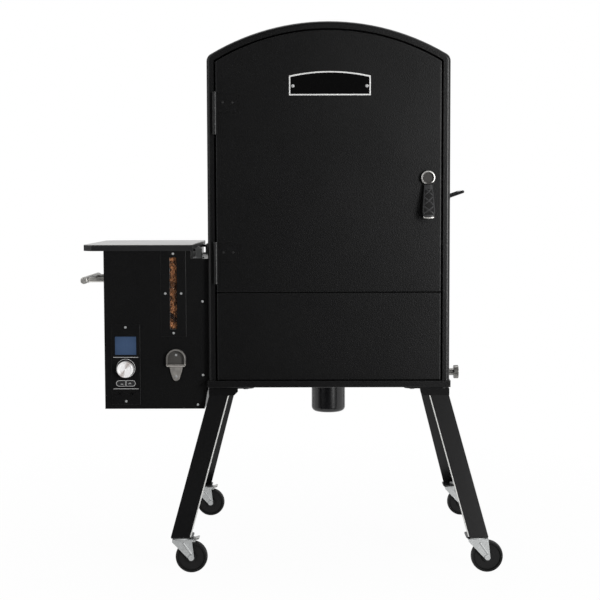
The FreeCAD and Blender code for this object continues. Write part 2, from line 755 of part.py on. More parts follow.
def make_frame_hinges():
    """Lower halves of the lift-off hinges: knuckle, pin and a tab welded in the door gap."""
    halves = []
    for z in hinge_z:
        h = hinge_lower_h()
        knuckle = rod(V(hinge_x, hinge_y, z), Z, barrel_r, h)
        tab = box(-half + frame_w, hinge_x, hinge_y, 20, z + 4, z + h - 4)
        pin = rod(V(hinge_x, hinge_y, z), Z, pin_r, barrel_h - 4)
        halves.append(fuse([knuckle, tab, pin]))
    return Part.makeCompound(halves)


def make_door_hinges():
    """Upper halves: knuckles that drop over the pins, each with a leaf on the door face."""
    leaves = []
    for z in hinge_z:
        z1 = z + hinge_lower_h() + part_gap
        knuckle = rod(V(hinge_x, hinge_y, z1), Z, barrel_r, z + barrel_h - z1)
        z2 = z + barrel_h - 6
        leaf = box(hinge_x, hinge_x + barrel_r + leaf_w, -door_proud - leaf_t, -door_proud, z2 - leaf_h, z2)
        leaf = leaf.makeFillet(3, [e for e in leaf.Edges
                                   if e.BoundBox.XMin > hinge_x + 20 and e.BoundBox.YLength > 1
                                   and e.BoundBox.XLength < 1])
        bore = rod(V(hinge_x, hinge_y, z), Z, pin_r + run, barrel_h - 4 + part_gap)
        leaves.append(fuse([knuckle, leaf]).cut(bore))
    return Part.makeCompound(leaves)


def make_badge():
    """Bare name plate with an arched top and a raised rim."""
    y0 = -door_proud - badge_t
    solid = []
    for inset in (0, 3):
        w = badge_w / 2 - inset
        z0, z1 = badge_z + inset, badge_z + badge_h - inset
        edges = [
            Part.LineSegment(V(badge_x - w, y0, z0), V(badge_x + w, y0, z0)),
            Part.LineSegment(V(badge_x + w, y0, z0), V(badge_x + w, y0, z1)),
            Part.Arc(V(badge_x + w, y0, z1), V(badge_x, y0, z1 + badge_rise), V(badge_x - w, y0, z1)),
            Part.LineSegment(V(badge_x - w, y0, z1), V(badge_x - w, y0, z0)),
        ]
        face = Part.Face(Part.Wire([e.toShape() for e in edges]))
        solid.append(face.extrude(Y * (badge_t if inset == 0 else 1.0)))
    return solid[0].cut(solid[1])


def make_door_fasteners():
    """Two screws in each hinge leaf and two domed rivets in the badge."""
    pieces = []
    for z in hinge_z:
        for dx in (13.0, 36.5):
            pieces.append(screw(hinge_x + barrel_r + dx, -door_proud - leaf_t, z + barrel_h - 25))
    for dx in (-87.5, 87.5):
        y = -door_proud - badge_t + 1.0
        rivet = rod(V(badge_x + dx, y, badge_z + 22), -Y, 4, 2.5)
        pieces.append(round_front(rivet, y - 2.5, 1.8))
    return Part.makeCompound(pieces)


# ---- latch ----
def make_latch_spindle():
    """Spindle through the door with its chromed boss in front and the cam behind."""
    y0 = -door_proud - part_gap
    boss = rod(V(latch_x, y0 - 12, latch_z), Y, boss_r, 12)
    boss = round_front(boss, y0 - 12, 3)
    dish = rod(V(latch_x, y0 - 13, latch_z), Y, boss_r - 5, 4)
    shaft = rod(V(latch_x, y0 - 5, latch_z), Y, spindle_r, cam_y + cam_t + 3 - y0 + 5)
    cam = box(latch_x, latch_x + cam_len, cam_y, cam_y + cam_t, latch_z - cam_w / 2, latch_z + cam_w / 2)
    return fuse([boss.cut(dish), shaft, cam])


def make_latch_grip():
    """Broad drop grip under the boss, bellied in front and wider towards its end."""
    y0 = -door_proud - 6
    z_top, z_end = latch_z - boss_r + 1, latch_z - grip_len
    sections = []
    for z, width, depth, out in ((z_top, 20, 9, 8), (latch_z - 45, 25, 15, 16),
                                 (latch_z - 80, grip_w, 14, 24), (z_end, grip_w - 6, 7, 26)):
        y = y0 - out
        flat = width / 2 - 4
        wire = Part.Wire([
            Part.LineSegment(V(latch_x - flat, y, z), V(latch_x + flat, y, z)).toShape(),
            Part.Arc(V(latch_x + flat, y, z), V(latch_x + width / 2, y + depth / 2, z),
                     V(latch_x + flat, y + depth, z)).toShape(),
            Part.LineSegment(V(latch_x + flat, y + depth, z), V(latch_x - flat, y + depth, z)).toShape(),
            Part.Arc(V(latch_x - flat, y + depth, z), V(latch_x - width / 2, y + depth / 2, z),
                     V(latch_x - flat, y, z)).toShape(),
        ])
        sections.append(wire)
    grip = Part.makeLoft(sections, True)
    boss = rod(V(latch_x, -door_proud - 30, latch_z), Y, boss_r + 0.02, 60)
    return grip.cut(boss)


# ---- hopper ----
def duct_section():
    """Y and Z limits of the blower's air duct."""
    y, z = pot_y + duct_dy, floor_z + duct_rise
    return y, y + duct_w, z, z + duct_h


def make_hopper_case():
    """Outer hopper box: stepped beside the cabinet for the lid hinges, open at the top."""
    x0 = hop_x0
    case = prism(hopper_profile(0, hop_y), Y * hop_d)
    hollow = prism(hopper_profile(sheet, hop_y + sheet), Y * (hop_d - 2 * sheet))
    slot = box(window_x - window_w / 2, window_x + window_w / 2, hop_y - 1, hop_y + 5,
               window_z, window_z + window_h)
    ports = side_ports(0.4)
    w, h = socket_w / 2 + 0.5, socket_h / 2 + 0.5
    inlet = box(inlet_x() - w, inlet_x() + w, hop_y1 - 5, hop_y1 + 1, inlet_z - h, inlet_z + h)
    vents = []
    for n in range(7):
        x = x0 + 90 + 12 * n
        vents.append(box(x, x + 5, pot_y + 50, pot_y + 120, hop_z - 1, hop_z + 5))
    jacks = [rod(V(panel_x + dx, hop_y - 1, jack_z), Y, jack_r + jack_wall + slip, 5)
             for dx in (-jack_dx, jack_dx)]
    return case.cut(hollow).cut(fuse([slot, ports, inlet] + vents + jacks + control_holes()))


def hopper_profile(t, y):
    """Front outline of the case, or of its hollow a sheet t inside, which runs out of the top."""
    x0, x1 = hop_x0 + t, -half - t
    z0, z1, z2 = hop_z + t, tray_top + tray_room + t, shelf_z - t
    z3 = hop_top - part_gap + t
    x2 = x1 - tray_side - tray_gap
    points = [(x0, z0), (x1 - leg_step, z0), (x2, base_z), (x2, z1), (x1, z1), (x1, z2),
              (x1 - notch_w, z2), (x1 - notch_w, z3), (x0, z3)]
    return [V(x, y, z) for x, z in points]


def inlet_x():
    return hop_x0 + inlet_dx


def control_holes():
    """Holes in the hopper front behind the dial's stem and the key stems."""
    holes = [rod(V(panel_x, hop_y - 1, dial_z), Y, 5, 5)]
    for side in (-1, 1):
        holes.append(rod(V(panel_x + side * keys_w / 4, hop_y - 1, keys_z + keys_h / 2), Y, 4.4, 5))
    return holes


def make_hopper_bin():
    """Pellet bin: straight walls behind the window, then a funnel down to the auger trough."""
    x0, x1 = hop_x0 + sheet + bin_gap, -half - notch_w - sheet - bin_gap
    y0, y1 = hop_y + sheet + bin_gap, hop_y1 - sheet - bin_gap
    shapes = []
    for t in (0, sheet):
        upper = [V(x0 + t, y0 + t, funnel_z), V(x1 - t, y0 + t, funnel_z),
                 V(x1 - t, y1 - t, funnel_z), V(x0 + t, y1 - t, funnel_z)]
        z = feed_z + tube_r + part_gap - 3 * t / sheet
        a, b = x0 + mouth_dx + t, x1 - 20 - t
        c = tube_r - 6 - t
        lower = [V(a, pot_y - c, z), V(b, pot_y - c, z), V(b, pot_y + c, z), V(a, pot_y + c, z)]
        funnel = Part.makeLoft([Part.makePolygon(p + p[:1]) for p in (upper, lower)], True, True)
        straight = box(x0 + t, x1 - t, y0 + t, y1 - t, funnel_z, hop_top - part_gap + t)
        shapes.append(fuse([funnel, straight]))
    slot = box(window_x - window_w / 2, window_x + window_w / 2, y0 - 1, y0 + 5,
               window_z, window_z + window_h)
    return shapes[0].cut(shapes[1]).cut(slot)


def make_auger_tube():
    """Feed tube from under the bin into the fire pot, open on top below the funnel."""
    x0, x1 = hop_x0 + mouth_dx, -pot_r + 1
    pipe = tube(V(x0, pot_y, feed_z), X, tube_r, auger_r + 1, x1 - x0)
    trough = box(x0 + 10, -half - notch_w - 25, pot_y - 15, pot_y + 15, feed_z, feed_z + 40)
    pot = rod(V(0, pot_y, floor_z), Z, pot_r + part_gap, 100)
    return pipe.cut(trough).cut(pot)


def make_auger_screw():
    """Feed screw: a shaft with one helical flight."""
    x0, x1 = hop_x0 + mouth_dx + 1, -pot_r - 12
    shaft = rod(V(x0, pot_y, feed_z), X, 7, x1 - x0)
    length = x1 - x0 - 16
    path = Part.makeHelix(auger_pitch, length, 7)
    section = Part.makePolygon([V(6, 0, -1.5), V(auger_r, 0, -1), V(auger_r, 0, 1), V(6, 0, 1.5), V(6, 0, -1.5)])
    flight = Part.Wire(path).makePipeShell([section], True, True)
    flight = flight.rotate(V(0, 0, 0), Y, 90).translate(V(x0 + 8, pot_y, feed_z))
    return fuse([shaft, Part.Solid(flight)])


def make_auger_motor():
    """Gear motor on the end of the feed tube."""
    x1 = hop_x0 + mouth_dx
    gearbox = box(x1 - gearbox_l, x1, pot_y - 30, pot_y + 30, feed_z - 34, feed_z + 26)
    gearbox = gearbox.makeFillet(5, [e for e in gearbox.Edges if e.BoundBox.XLength > 1])
    motor = rod(V(hop_x0 + sheet + part_gap, pot_y, feed_z - 12), X, 22, mouth_dx - gearbox_l - sheet)
    return fuse([gearbox, motor])


def fan_axis():
    return V(hop_x0 + fan_dx, 0, floor_z - fan_drop)


def make_fan_housing():
    """Blower scroll with an eye in front and a duct into the cabinet."""
    at = fan_axis()
    y0, y1, z0, z1 = duct_section()
    shapes = []
    for t in (0, sheet):
        scroll = rod(V(at.x, y0 + t, at.z), Y, scroll_r - t, y1 - y0 - 2 * t)
        duct = box(at.x, -chamber + 2 + t, y0 + t, y1 - t, z0 + t, z1 - t)
        shapes.append(fuse([scroll, duct]))
    eye = rod(V(at.x, y0 - 1, at.z), Y, eye_r, 5)
    feet = box(at.x - 20, at.x + 20, y0, y1, hop_z + sheet, at.z - scroll_r + 2)
    motor = rod(V(at.x, y1, at.z), Y, fan_motor_r, fan_motor_len)
    bearing = rod(V(at.x, y1 - 5, at.z), Y, fan_shaft_r + run, fan_motor_len - 2)
    return fuse([shapes[0], feet, motor]).cut(fuse([shapes[1], eye, bearing]))


def make_fan_impeller():
    """Blower wheel: hub, back plate and eight blades, on a stub shaft."""
    at = fan_axis()
    y0, y1, z0, z1 = duct_section()
    back = y1 - sheet - 6
    hub = rod(V(at.x, y0 + 8, at.z), Y, 8, back - y0 - 7)
    plate = rod(V(at.x, back, at.z), Y, impeller_r, 2)
    blades = []
    for n in range(8):
        blade = box(at.x + impeller_r - blade_len, at.x + impeller_r, y0 + 8, back, at.z - 0.8, at.z + 0.8)
        blades.append(blade.rotate(V(at.x, 0, at.z), Y, 45 * n))
    shaft = rod(V(at.x, back, at.z), Y, fan_shaft_r, fan_motor_len - 4)
    return fuse([hub, plate, shaft] + blades)


def make_power_inlet():
    """Appliance inlet in the hopper's back: flange, socket body and three blades."""
    x, y, z = inlet_x(), hop_y1, inlet_z
    flange = box(x - inlet_w / 2, x + inlet_w / 2, y, y + 3, z - inlet_h / 2, z + inlet_h / 2)
    body = box(x - socket_w / 2, x + socket_w / 2, y - socket_d, y, z - socket_h / 2, z + socket_h / 2)
    well = box(x - well_w / 2, x + well_w / 2, y - well_d, y + 4, z - well_h / 2, z + well_h / 2)
    blades = [box(x + dx - 1, x + dx + 1, y - well_d - 1, y - 3, z + dz - 2.5, z + dz + 2.5)
              for dx, dz in ((-7, -1.5), (0, 2.5), (7, -1.5))]
    return fuse([fuse([flange, body]).cut(well)] + blades)


def make_window_bezel():
    """Raised frame plate round the pellet window."""
    z0 = window_z + window_h / 2 - bezel_h / 2
    plate = box(window_x - bezel_w / 2, window_x + bezel_w / 2, hop_y - bezel_t, hop_y, z0, z0 + bezel_h)
    plate = round_front(plate, hop_y - bezel_t, 1.0)
    return plate.cut(box(window_x - window_w / 2, window_x + window_w / 2, hop_y - 5, hop_y + 1,
                         window_z, window_z + window_h))


def make_window_lens():
    """Clear pane behind the hopper front, in the space before the bin wall."""
    return box(window_x - window_w, window_x + window_w, hop_y + sheet, hop_y + sheet + bin_gap,
               window_z - 10, window_z + window_h + 10)


def opener_arch(radius, y0, y1, low):
    """Half-round block with straight sides down to a level."""
    eye_z = opener_z + opener_h - opener_w / 2
    head = rod(V(opener_x, y0, eye_z), Y, radius, y1 - y0)
    legs = box(opener_x - radius, opener_x + radius, y0, y1, eye_z - opener_drop - low, eye_z)
    below = box(opener_x - 100, opener_x + 100, y0 - 1, y1 + 1, 0, eye_z - opener_drop - low)
    return fuse([head, legs]).cut(below)


def make_opener_shield():
    """Lower half of the opener: a plate that tapers to a round point."""
    lip_z = opener_z + opener_h - opener_w / 2 - opener_drop
    y, z1 = hop_y - shield_t, lip_z - 14
    right = [V(opener_x + shield_w / 2, y, lip_z), V(opener_x + shield_mid / 2, y, z1),
             V(opener_x + 8, y, opener_z + 5)]
    left = [V(2 * opener_x - p.x, p.y, p.z) for p in reversed(right)]
    edges = [Part.LineSegment(left[-1], right[0]), Part.LineSegment(*right[:2]), Part.LineSegment(*right[1:]),
             Part.Arc(right[2], V(opener_x, y, opener_z), left[0]),
             Part.LineSegment(*left[:2]), Part.LineSegment(*left[1:])]
    shield = Part.Face(Part.Wire([e.toShape() for e in edges])).extrude(Y * shield_t)
    return round_front(shield, y, 1.5)


def make_bottle_opener():
    """Cast wall bottle opener: arched cup with a raised rim, lip bar and tapering shield."""
    lip_z = opener_z + opener_h - opener_w / 2 - opener_drop
    r = opener_w / 2
    cup = round_front(opener_arch(r, hop_y - opener_d, hop_y, 0), hop_y - opener_d, 1.5)
    cup = cup.cut(opener_arch(r - opener_rim, hop_y - opener_d - 1, hop_y - opener_plate, 1))
    reach = r - opener_rim / 2
    lip = rod(V(opener_x - reach, hop_y - opener_d + lip_r, lip_z), X, lip_r, 2 * reach)
    return fuse([cup, make_opener_shield(), lip])


def make_control_plate():
    """Control panel with a screen window, dial and key openings and two probe jacks."""
    x0, x1 = panel_x - panel_w / 2, panel_x + panel_w / 2
    plate = box(x0, x1, hop_y - panel_t, hop_y, panel_z, panel_z + panel_h)
    plate = round_front(plate, hop_y - panel_t, 0.8)
    screen = box(panel_x - screen_w / 2, panel_x + screen_w / 2, hop_y - 5, hop_y + 1,
                 screen_z, screen_z + screen_h)
    keys = key_outline(0.3)
    stem = rod(V(panel_x, hop_y - 5, dial_z), Y, 5, 10)
    rings = [tube(V(panel_x + dx, hop_y - panel_t - 1.5, jack_z), Y, jack_r + jack_wall, jack_r, panel_t + 6)
             for dx in (-jack_dx, jack_dx)]
    bores = [rod(V(panel_x + dx, hop_y - 10, jack_z), Y, jack_r, 30) for dx in (-jack_dx, jack_dx)]
    return fuse([plate.cut(fuse([screen, keys, stem]))] + rings).cut(fuse(bores))


def key_outline(grow):
    """Stadium-shaped bar that holds both keys, grown by a clearance."""
    r = keys_h / 2 + grow
    run_x = keys_w / 2 - keys_h / 2
    z = keys_z + keys_h / 2
    mid = box(panel_x - run_x, panel_x + run_x, hop_y - 5, hop_y + 5, z - r, z + r)
    ends = [rod(V(panel_x + side * run_x, hop_y - 5, z), Y, r, 10) for side in (-1, 1)]
    return fuse([mid] + ends)


def make_screen():
    """Display block seated in the control panel's window."""
    return box(panel_x - screen_w / 2, panel_x + screen_w / 2, hop_y - panel_t + 0.5, hop_y,
               screen_z, screen_z + screen_h)


def make_dial():
    """Turned metal dial with a bevelled front, a pointer groove and a stem."""
    y0 = hop_y - panel_t - part_gap
    dial = rod(V(panel_x, y0 - dial_h, dial_z), Y, dial_r, dial_h)
    dial = round_front(dial, y0 - dial_h, 2.0)
    dish = Part.makeCone(dial_r - 4, dial_r - 6, 1.2, V(panel_x, y0 - dial_h, dial_z), Y)
    groove = box(panel_x - 0.8, panel_x + 0.8, y0 - dial_h - 1, y0 - dial_h + 2, dial_z + 6, dial_z + 17)
    stem = rod(V(panel_x, y0 - 2, dial_z), Y, 5 - run, 2 + part_gap + panel_t + 6)
    return fuse([dial.cut(dish).cut(groove), stem])


def make_key(side):
    """One half of the stadium: side -1 is the left key, +1 the right key."""
    z = keys_z + keys_h / 2
    cut_x = panel_x + side * slip
    far = panel_x + side * keys_w
    cap = key_outline(0).common(box(min(cut_x, far), max(cut_x, far), hop_y - panel_t - 2.5, hop_y - 0.1,
                                    keys_z, keys_z + keys_h))
    cap = cap.common(box(far - 100, far + 100, hop_y - panel_t - 2.5, hop_y - 0.1 - key_travel,
                         keys_z, keys_z + keys_h))
    stem = rod(V(panel_x + side * keys_w / 4, hop_y - 3, z), Y, 4, 8)
    return fuse([cap, stem])


def make_hopper_lid():
    """Folded lid with chamfered left corners and two hinge arms at its right end."""
    x0, x1 = hop_x0 - lid_lip, -half - notch_w + 4
    y0, y1 = hop_y - lid_side, hop_y1 + lid_side
    z0, z1 = hop_top + sheet - lid_h, hop_top + sheet
    c = lid_chamfer
    layers = []
    for t, low in ((0, z0), (sheet, z0 - 1)):
        k = t * 0.414
        outline = [V(x0 + t, y0 + c + k, low), V(x0 + c + k, y0 + t, low), V(x1 - t, y0 + t, low),
                   V(x1 - t, y1 - t, low), V(x0 + c + k, y1 - t, low), V(x0 + t, y1 - c - k, low)]
        layers.append(prism(outline, Z * (z1 - t - low)))
    lid = layers[0].makeFillet(1.2, [e for e in layers[0].Edges if e.BoundBox.ZMin > z1 - 0.1])
    lid = lid.cut(layers[1])
    pin_x = -half - lid_pin_x
    arms = []
    for y in lid_hinge_places():
        arm = box(x1 - 1, pin_x, y - 6, y + 6, lid_pin_z - 3, lid_pin_z + 3)
        eye = rod(V(pin_x, y - 6, lid_pin_z), Y, 7, 12)
        arms.append(fuse([arm, eye]).cut(rod(V(pin_x, y - 10, lid_pin_z), Y, pin_r + run, 20)))
    return fuse([lid] + arms)


def lid_hinge_places():
    return (hop_y + 45, hop_y1 - 45)


def make_lid_hinges():
    """Fixed lid hinge brackets on the step: base, two ears and the pin."""
    pin_x = -half - lid_pin_x
    brackets = []
    for y in lid_hinge_places():
        base = box(pin_x - 12, pin_x + 12, y - 16, y + 16, shelf_z, shelf_z + 2.5)
        ears = []
        for y_ear in (y - 6 - slip - 2.5, y + 6 + slip):
            plate = box(pin_x - 7, pin_x + 7, y_ear, y_ear + 2.5, shelf_z, lid_pin_z)
            ears += [plate, rod(V(pin_x, y_ear, lid_pin_z), Y, 7, 2.5)]
        pin = rod(V(pin_x, y - 10.5, lid_pin_z), Y, pin_r, 21)
        brackets.append(fuse([base, pin] + ears))
    return Part.makeCompound(brackets)


def make_bar_handle():
    """Round bar with end caps, held off the hopper's left wall by two standoffs."""
    x = hop_x0 - bar_reach
    y0 = hop_y - 5
    bar = rod(V(x, y0, bar_z), Y, bar_r, bar_len)
    rims = [e for e in bar.Edges if e.BoundBox.YLength < 0.1]
    bar = bar.makeFillet(1.5, rims)
    posts = []
    for y in (y0 + 35, y0 + bar_len - 35):
        posts.append(rod(V(x, y, bar_z), X, 6, bar_reach))
        posts.append(rod(V(hop_x0 - 3, y, bar_z), X, 10, 3))
    return fuse([bar] + posts)


# ---- fasteners on the cabinet and hopper ----
def make_cabinet_screws():
    """Screws of hopper front, window, controls and opener, and the leg bolts."""
    face = hop_y
    places = [(-half - 15, face, 639), (-half - 15, face, 461), (-half - 28, face, 389)]
    mid = window_z + window_h / 2
    y = face - bezel_t
    places += [(window_x, y, window_z + window_h + 9), (window_x, y, window_z - 9),
               (window_x - 19, y, mid), (window_x + 19, y, mid)]
    y = face - panel_t
    places += [(panel_x, y, panel_z + panel_h - 6), (panel_x, y, panel_z + 9)]
    places += [(opener_x, face - shield_t, opener_z + 11),
               (opener_x, face - opener_plate, opener_z + opener_h - opener_w / 2 + 9)]
    pieces = [screw(*place) for place in places]
    for place in leg_places():
        for dx, dy in ((88, 25), (25, 88)):
            head = rod(V(-half + dx, dy, base_z - top_plate_t), -Z, 6, 4)
            pieces.append(set_corner(head, place))
    return Part.makeCompound(pieces)


def build_all():
    """Every sub-part by node name, standing on Z = 0 about the middle of its box."""
    nodes = {
        "outer_shell": make_outer_shell(),
        "inner_liner": make_inner_liner(),
        "front_frame": make_front_frame(),
        "rear_panel": make_rear_panel(),
        "floor_pan": make_floor_pan(),
        "base_frame": make_base_frame(),
        "lower_front_panel": make_lower_front_panel(),
        "rack_rails": make_rack_rails(),
        "cooking_racks": make_cooking_racks(),
        "water_pan": make_water_pan(),
        "heat_deflector": make_heat_deflector(),
        "burn_pot": make_burn_pot(),
        "ash_collar": make_ash_collar(),
        "ash_slide": make_ash_slide(),
        "ash_knob": make_ash_knob(),
        "ash_cup": make_ash_cup(),
        "exhaust_stack": make_exhaust_stack(),
        "stack_cap": make_stack_cap(),
        "side_handle": make_side_handle(),
        "cabinet_screws": make_cabinet_screws(),
        "frame_hinge_halves": make_frame_hinges(),
        "door_hinge_leaves": make_door_hinges(),
        "door_outer": make_door_outer(),
        "door_inner": make_door_inner(),
        "door_gasket": make_door_gasket(),
        "badge_plate": make_badge(),
        "door_fasteners": make_door_fasteners(),
        "latch_spindle": make_latch_spindle(),
        "latch_grip": make_latch_grip(),
        "hopper_case": make_hopper_case(),
        "hopper_bin": make_hopper_bin(),
        "hopper_lid": make_hopper_lid(),
        "lid_hinge_brackets": make_lid_hinges(),
        "bar_handle": make_bar_handle(),
        "window_bezel": make_window_bezel(),
        "window_lens": make_window_lens(),
        "bottle_opener": make_bottle_opener(),
        "control_plate": make_control_plate(),
        "display_screen": make_screen(),
        "control_dial": make_dial(),
        "key_left": make_key(-1),
        "key_right": make_key(1),
        "auger_tube": make_auger_tube(),
        "auger_screw": make_auger_screw(),
        "auger_motor": make_auger_motor(),
        "fan_housing": make_fan_housing(),
        "fan_impeller": make_fan_impeller(),
        "power_inlet": make_power_inlet(),
    }
    leg = make_leg()
    for row in ("front", "rear"):
        pair = [set_corner(leg, row + side) for side in ("_left", "_right")]
        nodes[row + "_legs"] = Part.makeCompound(pair)
    for place in leg_places():
        nodes["caster_fork_" + place] = make_fork(place)
        nodes["caster_wheel_" + place] = make_wheel(place)
        if place.endswith("left"):
            nodes["brake_lever_" + place] = make_brake_lever(place)
    size = Part.makeCompound(list(nodes.values())).BoundBox
    shift = V(-size.Center.x, -size.Center.y, -size.ZMin)
    for shape in nodes.values():
        shape.translate(shift)
    return nodes, shift


nodes, shift = build_all()
os.makedirs("parts", exist_ok=True)
for name, shape in nodes.items():
    shape.exportStep("parts/" + name + ".step")
print(len(nodes), "nodes, shift", shift)
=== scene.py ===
import bpy
import bmesh
import math
import numpy as np
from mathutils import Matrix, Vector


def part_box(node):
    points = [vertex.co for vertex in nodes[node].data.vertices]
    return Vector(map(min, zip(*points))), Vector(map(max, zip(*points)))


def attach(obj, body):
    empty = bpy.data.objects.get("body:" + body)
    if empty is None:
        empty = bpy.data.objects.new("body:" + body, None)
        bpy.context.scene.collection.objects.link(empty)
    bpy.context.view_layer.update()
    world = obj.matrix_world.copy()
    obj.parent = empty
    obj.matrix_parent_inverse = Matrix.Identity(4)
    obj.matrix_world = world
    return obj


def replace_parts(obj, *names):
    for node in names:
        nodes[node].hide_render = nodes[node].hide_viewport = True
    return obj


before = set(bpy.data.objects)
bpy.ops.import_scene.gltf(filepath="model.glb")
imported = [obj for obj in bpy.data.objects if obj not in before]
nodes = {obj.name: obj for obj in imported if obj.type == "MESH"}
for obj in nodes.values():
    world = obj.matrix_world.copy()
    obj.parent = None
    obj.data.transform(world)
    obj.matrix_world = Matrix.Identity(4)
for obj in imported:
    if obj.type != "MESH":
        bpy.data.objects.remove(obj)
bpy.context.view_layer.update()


# ---- Camera, lamps and floor ----
# A long lens stands 3.3 m in front of the cabinet, a little left of its middle, and looks
# slightly down. Three soft lamps and a dim white room light the black paint.
cabinet_low, cabinet_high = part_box("front_frame")
middle_x = (cabinet_low.x + cabinet_high.x) / 2
front_y = cabinet_low.y
camera_data = bpy.data.cameras.new("camera")
camera_data.sensor_width = 36.0
camera_data.lens = 82.2
camera_data.shift_x = -0.0285
camera = bpy.data.objects.new("camera", camera_data)
camera.location = (middle_x - 0.0278, front_y - 3.2664, 0.879)
camera.rotation_euler = (math.pi / 2 - 0.072, 0.0021, 0.0)
bpy.context.collection.objects.link(camera)
bpy.context.scene.camera = camera
bpy.context.scene.view_settings.view_transform = "Standard"


def soft_lamp(name, place, width, height, power):
    """A rectangular area lamp at place, turned to face the middle of the cabinet."""
    data = bpy.data.lights.new(name, "AREA")
    data.shape = "RECTANGLE"
    data.size, data.size_y, data.energy = width, height, power
    lamp = bpy.data.objects.new(name, data)
    lamp.location = place
    way = np.array((middle_x, 0.0, 0.7)) - np.array(place)
    lamp.rotation_euler = (math.atan2(math.hypot(way[0], way[1]), -way[2]), 0.0,
                           math.atan2(-way[0], way[1]))
    bpy.context.collection.objects.link(lamp)


soft_lamp("lamp_right", (middle_x + 1.9, front_y - 2.7, 1.05), 0.8, 1.6, 78)
soft_lamp("lamp_left", (middle_x - 2.8, front_y - 1.4, 1.4), 1.2, 2.0, 12)
soft_lamp("lamp_top", (middle_x, 0.6, 3.2), 2.4, 1.6, 18)


class Value:
    """A socket of a node tree. Arithmetic on it adds Math nodes, and node() adds any other."""

    def __init__(self, tree, socket):
        self.tree, self.socket = tree, socket

    def node(self, kind, settings, inputs, output=0):
        """Add a node of that kind: its settings first, then a value or link for each input."""
        made = self.tree.nodes.new("ShaderNode" + kind)
        for name, setting in settings.items():
            if name == "stops":
                ramp = made.color_ramp
                while len(ramp.elements) < len(setting):
                    ramp.elements.new(0.5)
                for element, (position, colour) in zip(ramp.elements, setting):
                    element.position, element.color = position, (*colour, 1.0)
            else:
                setattr(made, name, setting)
        for name, value in inputs.items():
            if isinstance(value, Value):
                self.tree.links.new(value.socket, made.inputs[name])
            else:
                made.inputs[name].default_value = value
        return Value(self.tree, made.outputs[output])

    def maths(self, operation, *others, clamp=False):
        """A Math node of this value, then the others."""
        return self.node("Math", {"operation": operation, "use_clamp": clamp},
                         dict(enumerate((self, *others))))

    def __add__(self, other):
        return self.maths("ADD", other)

    def __sub__(self, other):
        return self.maths("SUBTRACT", other)

    def __rsub__(self, other):
        return self.node("Math", {"operation": "SUBTRACT"}, {0: other, 1: self})

    def __mul__(self, other):
        return self.maths("MULTIPLY", other)

    def __truediv__(self, other):
        return self.maths("DIVIDE", other)

    def __pow__(self, other):
        return self.maths("POWER", other)

    def __gt__(self, other):
        return self.maths("GREATER_THAN", other)

    def __lt__(self, other):
        return self.maths("LESS_THAN", other)

    __radd__ = __add__
    __rmul__ = __mul__


def white_to_eye(tree):
    """1 for rays from the camera, off gloss and through glass, which see plain white."""
    path = tree.nodes.new("ShaderNodeLightPath")
    rays = [Value(tree, path.outputs["Is " + ray + " Ray"])
            for ray in ("Camera", "Glossy", "Transmission")]
    return rays[0].maths("ADD", rays[1] + rays[2], clamp=True)


world = bpy.data.worlds.new("studio")
bpy.context.scene.world = world
world.use_nodes = True
world.node_tree.nodes.clear()
way_out = world.node_tree.nodes.new("ShaderNodeOutputWorld")
sky = Value(world.node_tree, world.node_tree.nodes.new("ShaderNodeTexCoord").outputs["Generated"])
seen = white_to_eye(world.node_tree)
room = sky.node("Background", {}, {"Color": (1.0, 1.0, 1.0, 1.0), "Strength": seen * 0.72 + 0.28})
world.node_tree.links.new(room.socket, way_out.inputs["Surface"])

floor_paint = bpy.data.materials.new("pale_floor")
floor_paint.use_nodes = True
floor_paint.node_tree.nodes.clear()
floor_out = floor_paint.node_tree.nodes.new("ShaderNodeOutputMaterial")
floor_place = Value(floor_paint.node_tree,
                    floor_paint.node_tree.nodes.new("ShaderNodeTexCoord").outputs["Object"])
reach = floor_place.node("VectorMath", {"operation": "LENGTH"}, {0: floor_place}, "Value")
fade = floor_place.node("MapRange", {}, {"Value": reach, "From Min": 0.3, "From Max": 1.6,
                                         "To Min": 0.97, "To Max": 1.0})
matt = floor_place.node("BsdfDiffuse", {}, {"Color": (0.85, 0.85, 0.85, 1.0)})
glow = floor_place.node("Emission", {}, {"Color": (1.0, 1.0, 1.0, 1.0), "Strength": 1.0})
shown = white_to_eye(floor_paint.node_tree) * fade
mixed = floor_place.node("MixShader", {}, {0: shown, 1: matt, 2: glow})
floor_paint.node_tree.links.new(mixed.socket, floor_out.inputs["Surface"])
floor_mesh = bpy.data.meshes.new("floor")
wide = 30
floor_corners = [(-wide, -wide, 0), (wide, -wide, 0), (wide, wide, 0), (-wide, wide, 0)]
floor_mesh.from_pydata(floor_corners, [], [(0, 1, 2, 3)])
floor_mesh.materials.append(floor_paint)
floor = bpy.data.objects.new("floor", floor_mesh)
bpy.context.collection.objects.link(floor)

card_cloth = bpy.data.materials.new("black_cloth")
card_cloth.use_nodes = True
card_cloth.node_tree.nodes.clear()
card_out = card_cloth.node_tree.nodes.new("ShaderNodeOutputMaterial")
card_base = Value(card_cloth.node_tree, card_out.inputs["Surface"])
cloth = card_base.node("BsdfDiffuse", {}, {"Color": (0.01, 0.01, 0.01, 1.0)})
card_cloth.node_tree.links.new(cloth.socket, card_out.inputs["Surface"])


def black_card(name, corners):
    """A black cloth hung out of the camera's sight, so that gloss has something dark to show."""
    mesh = bpy.data.meshes.new(name)
    mesh.from_pydata(corners, [], [(0, 1, 2, 3)])
    mesh.materials.append(card_cloth)
    card = bpy.data.objects.new(name, mesh)
    card.visible_camera = False
    card.visible_shadow = False
    card.visible_diffuse = False
    bpy.context.collection.objects.link(card)


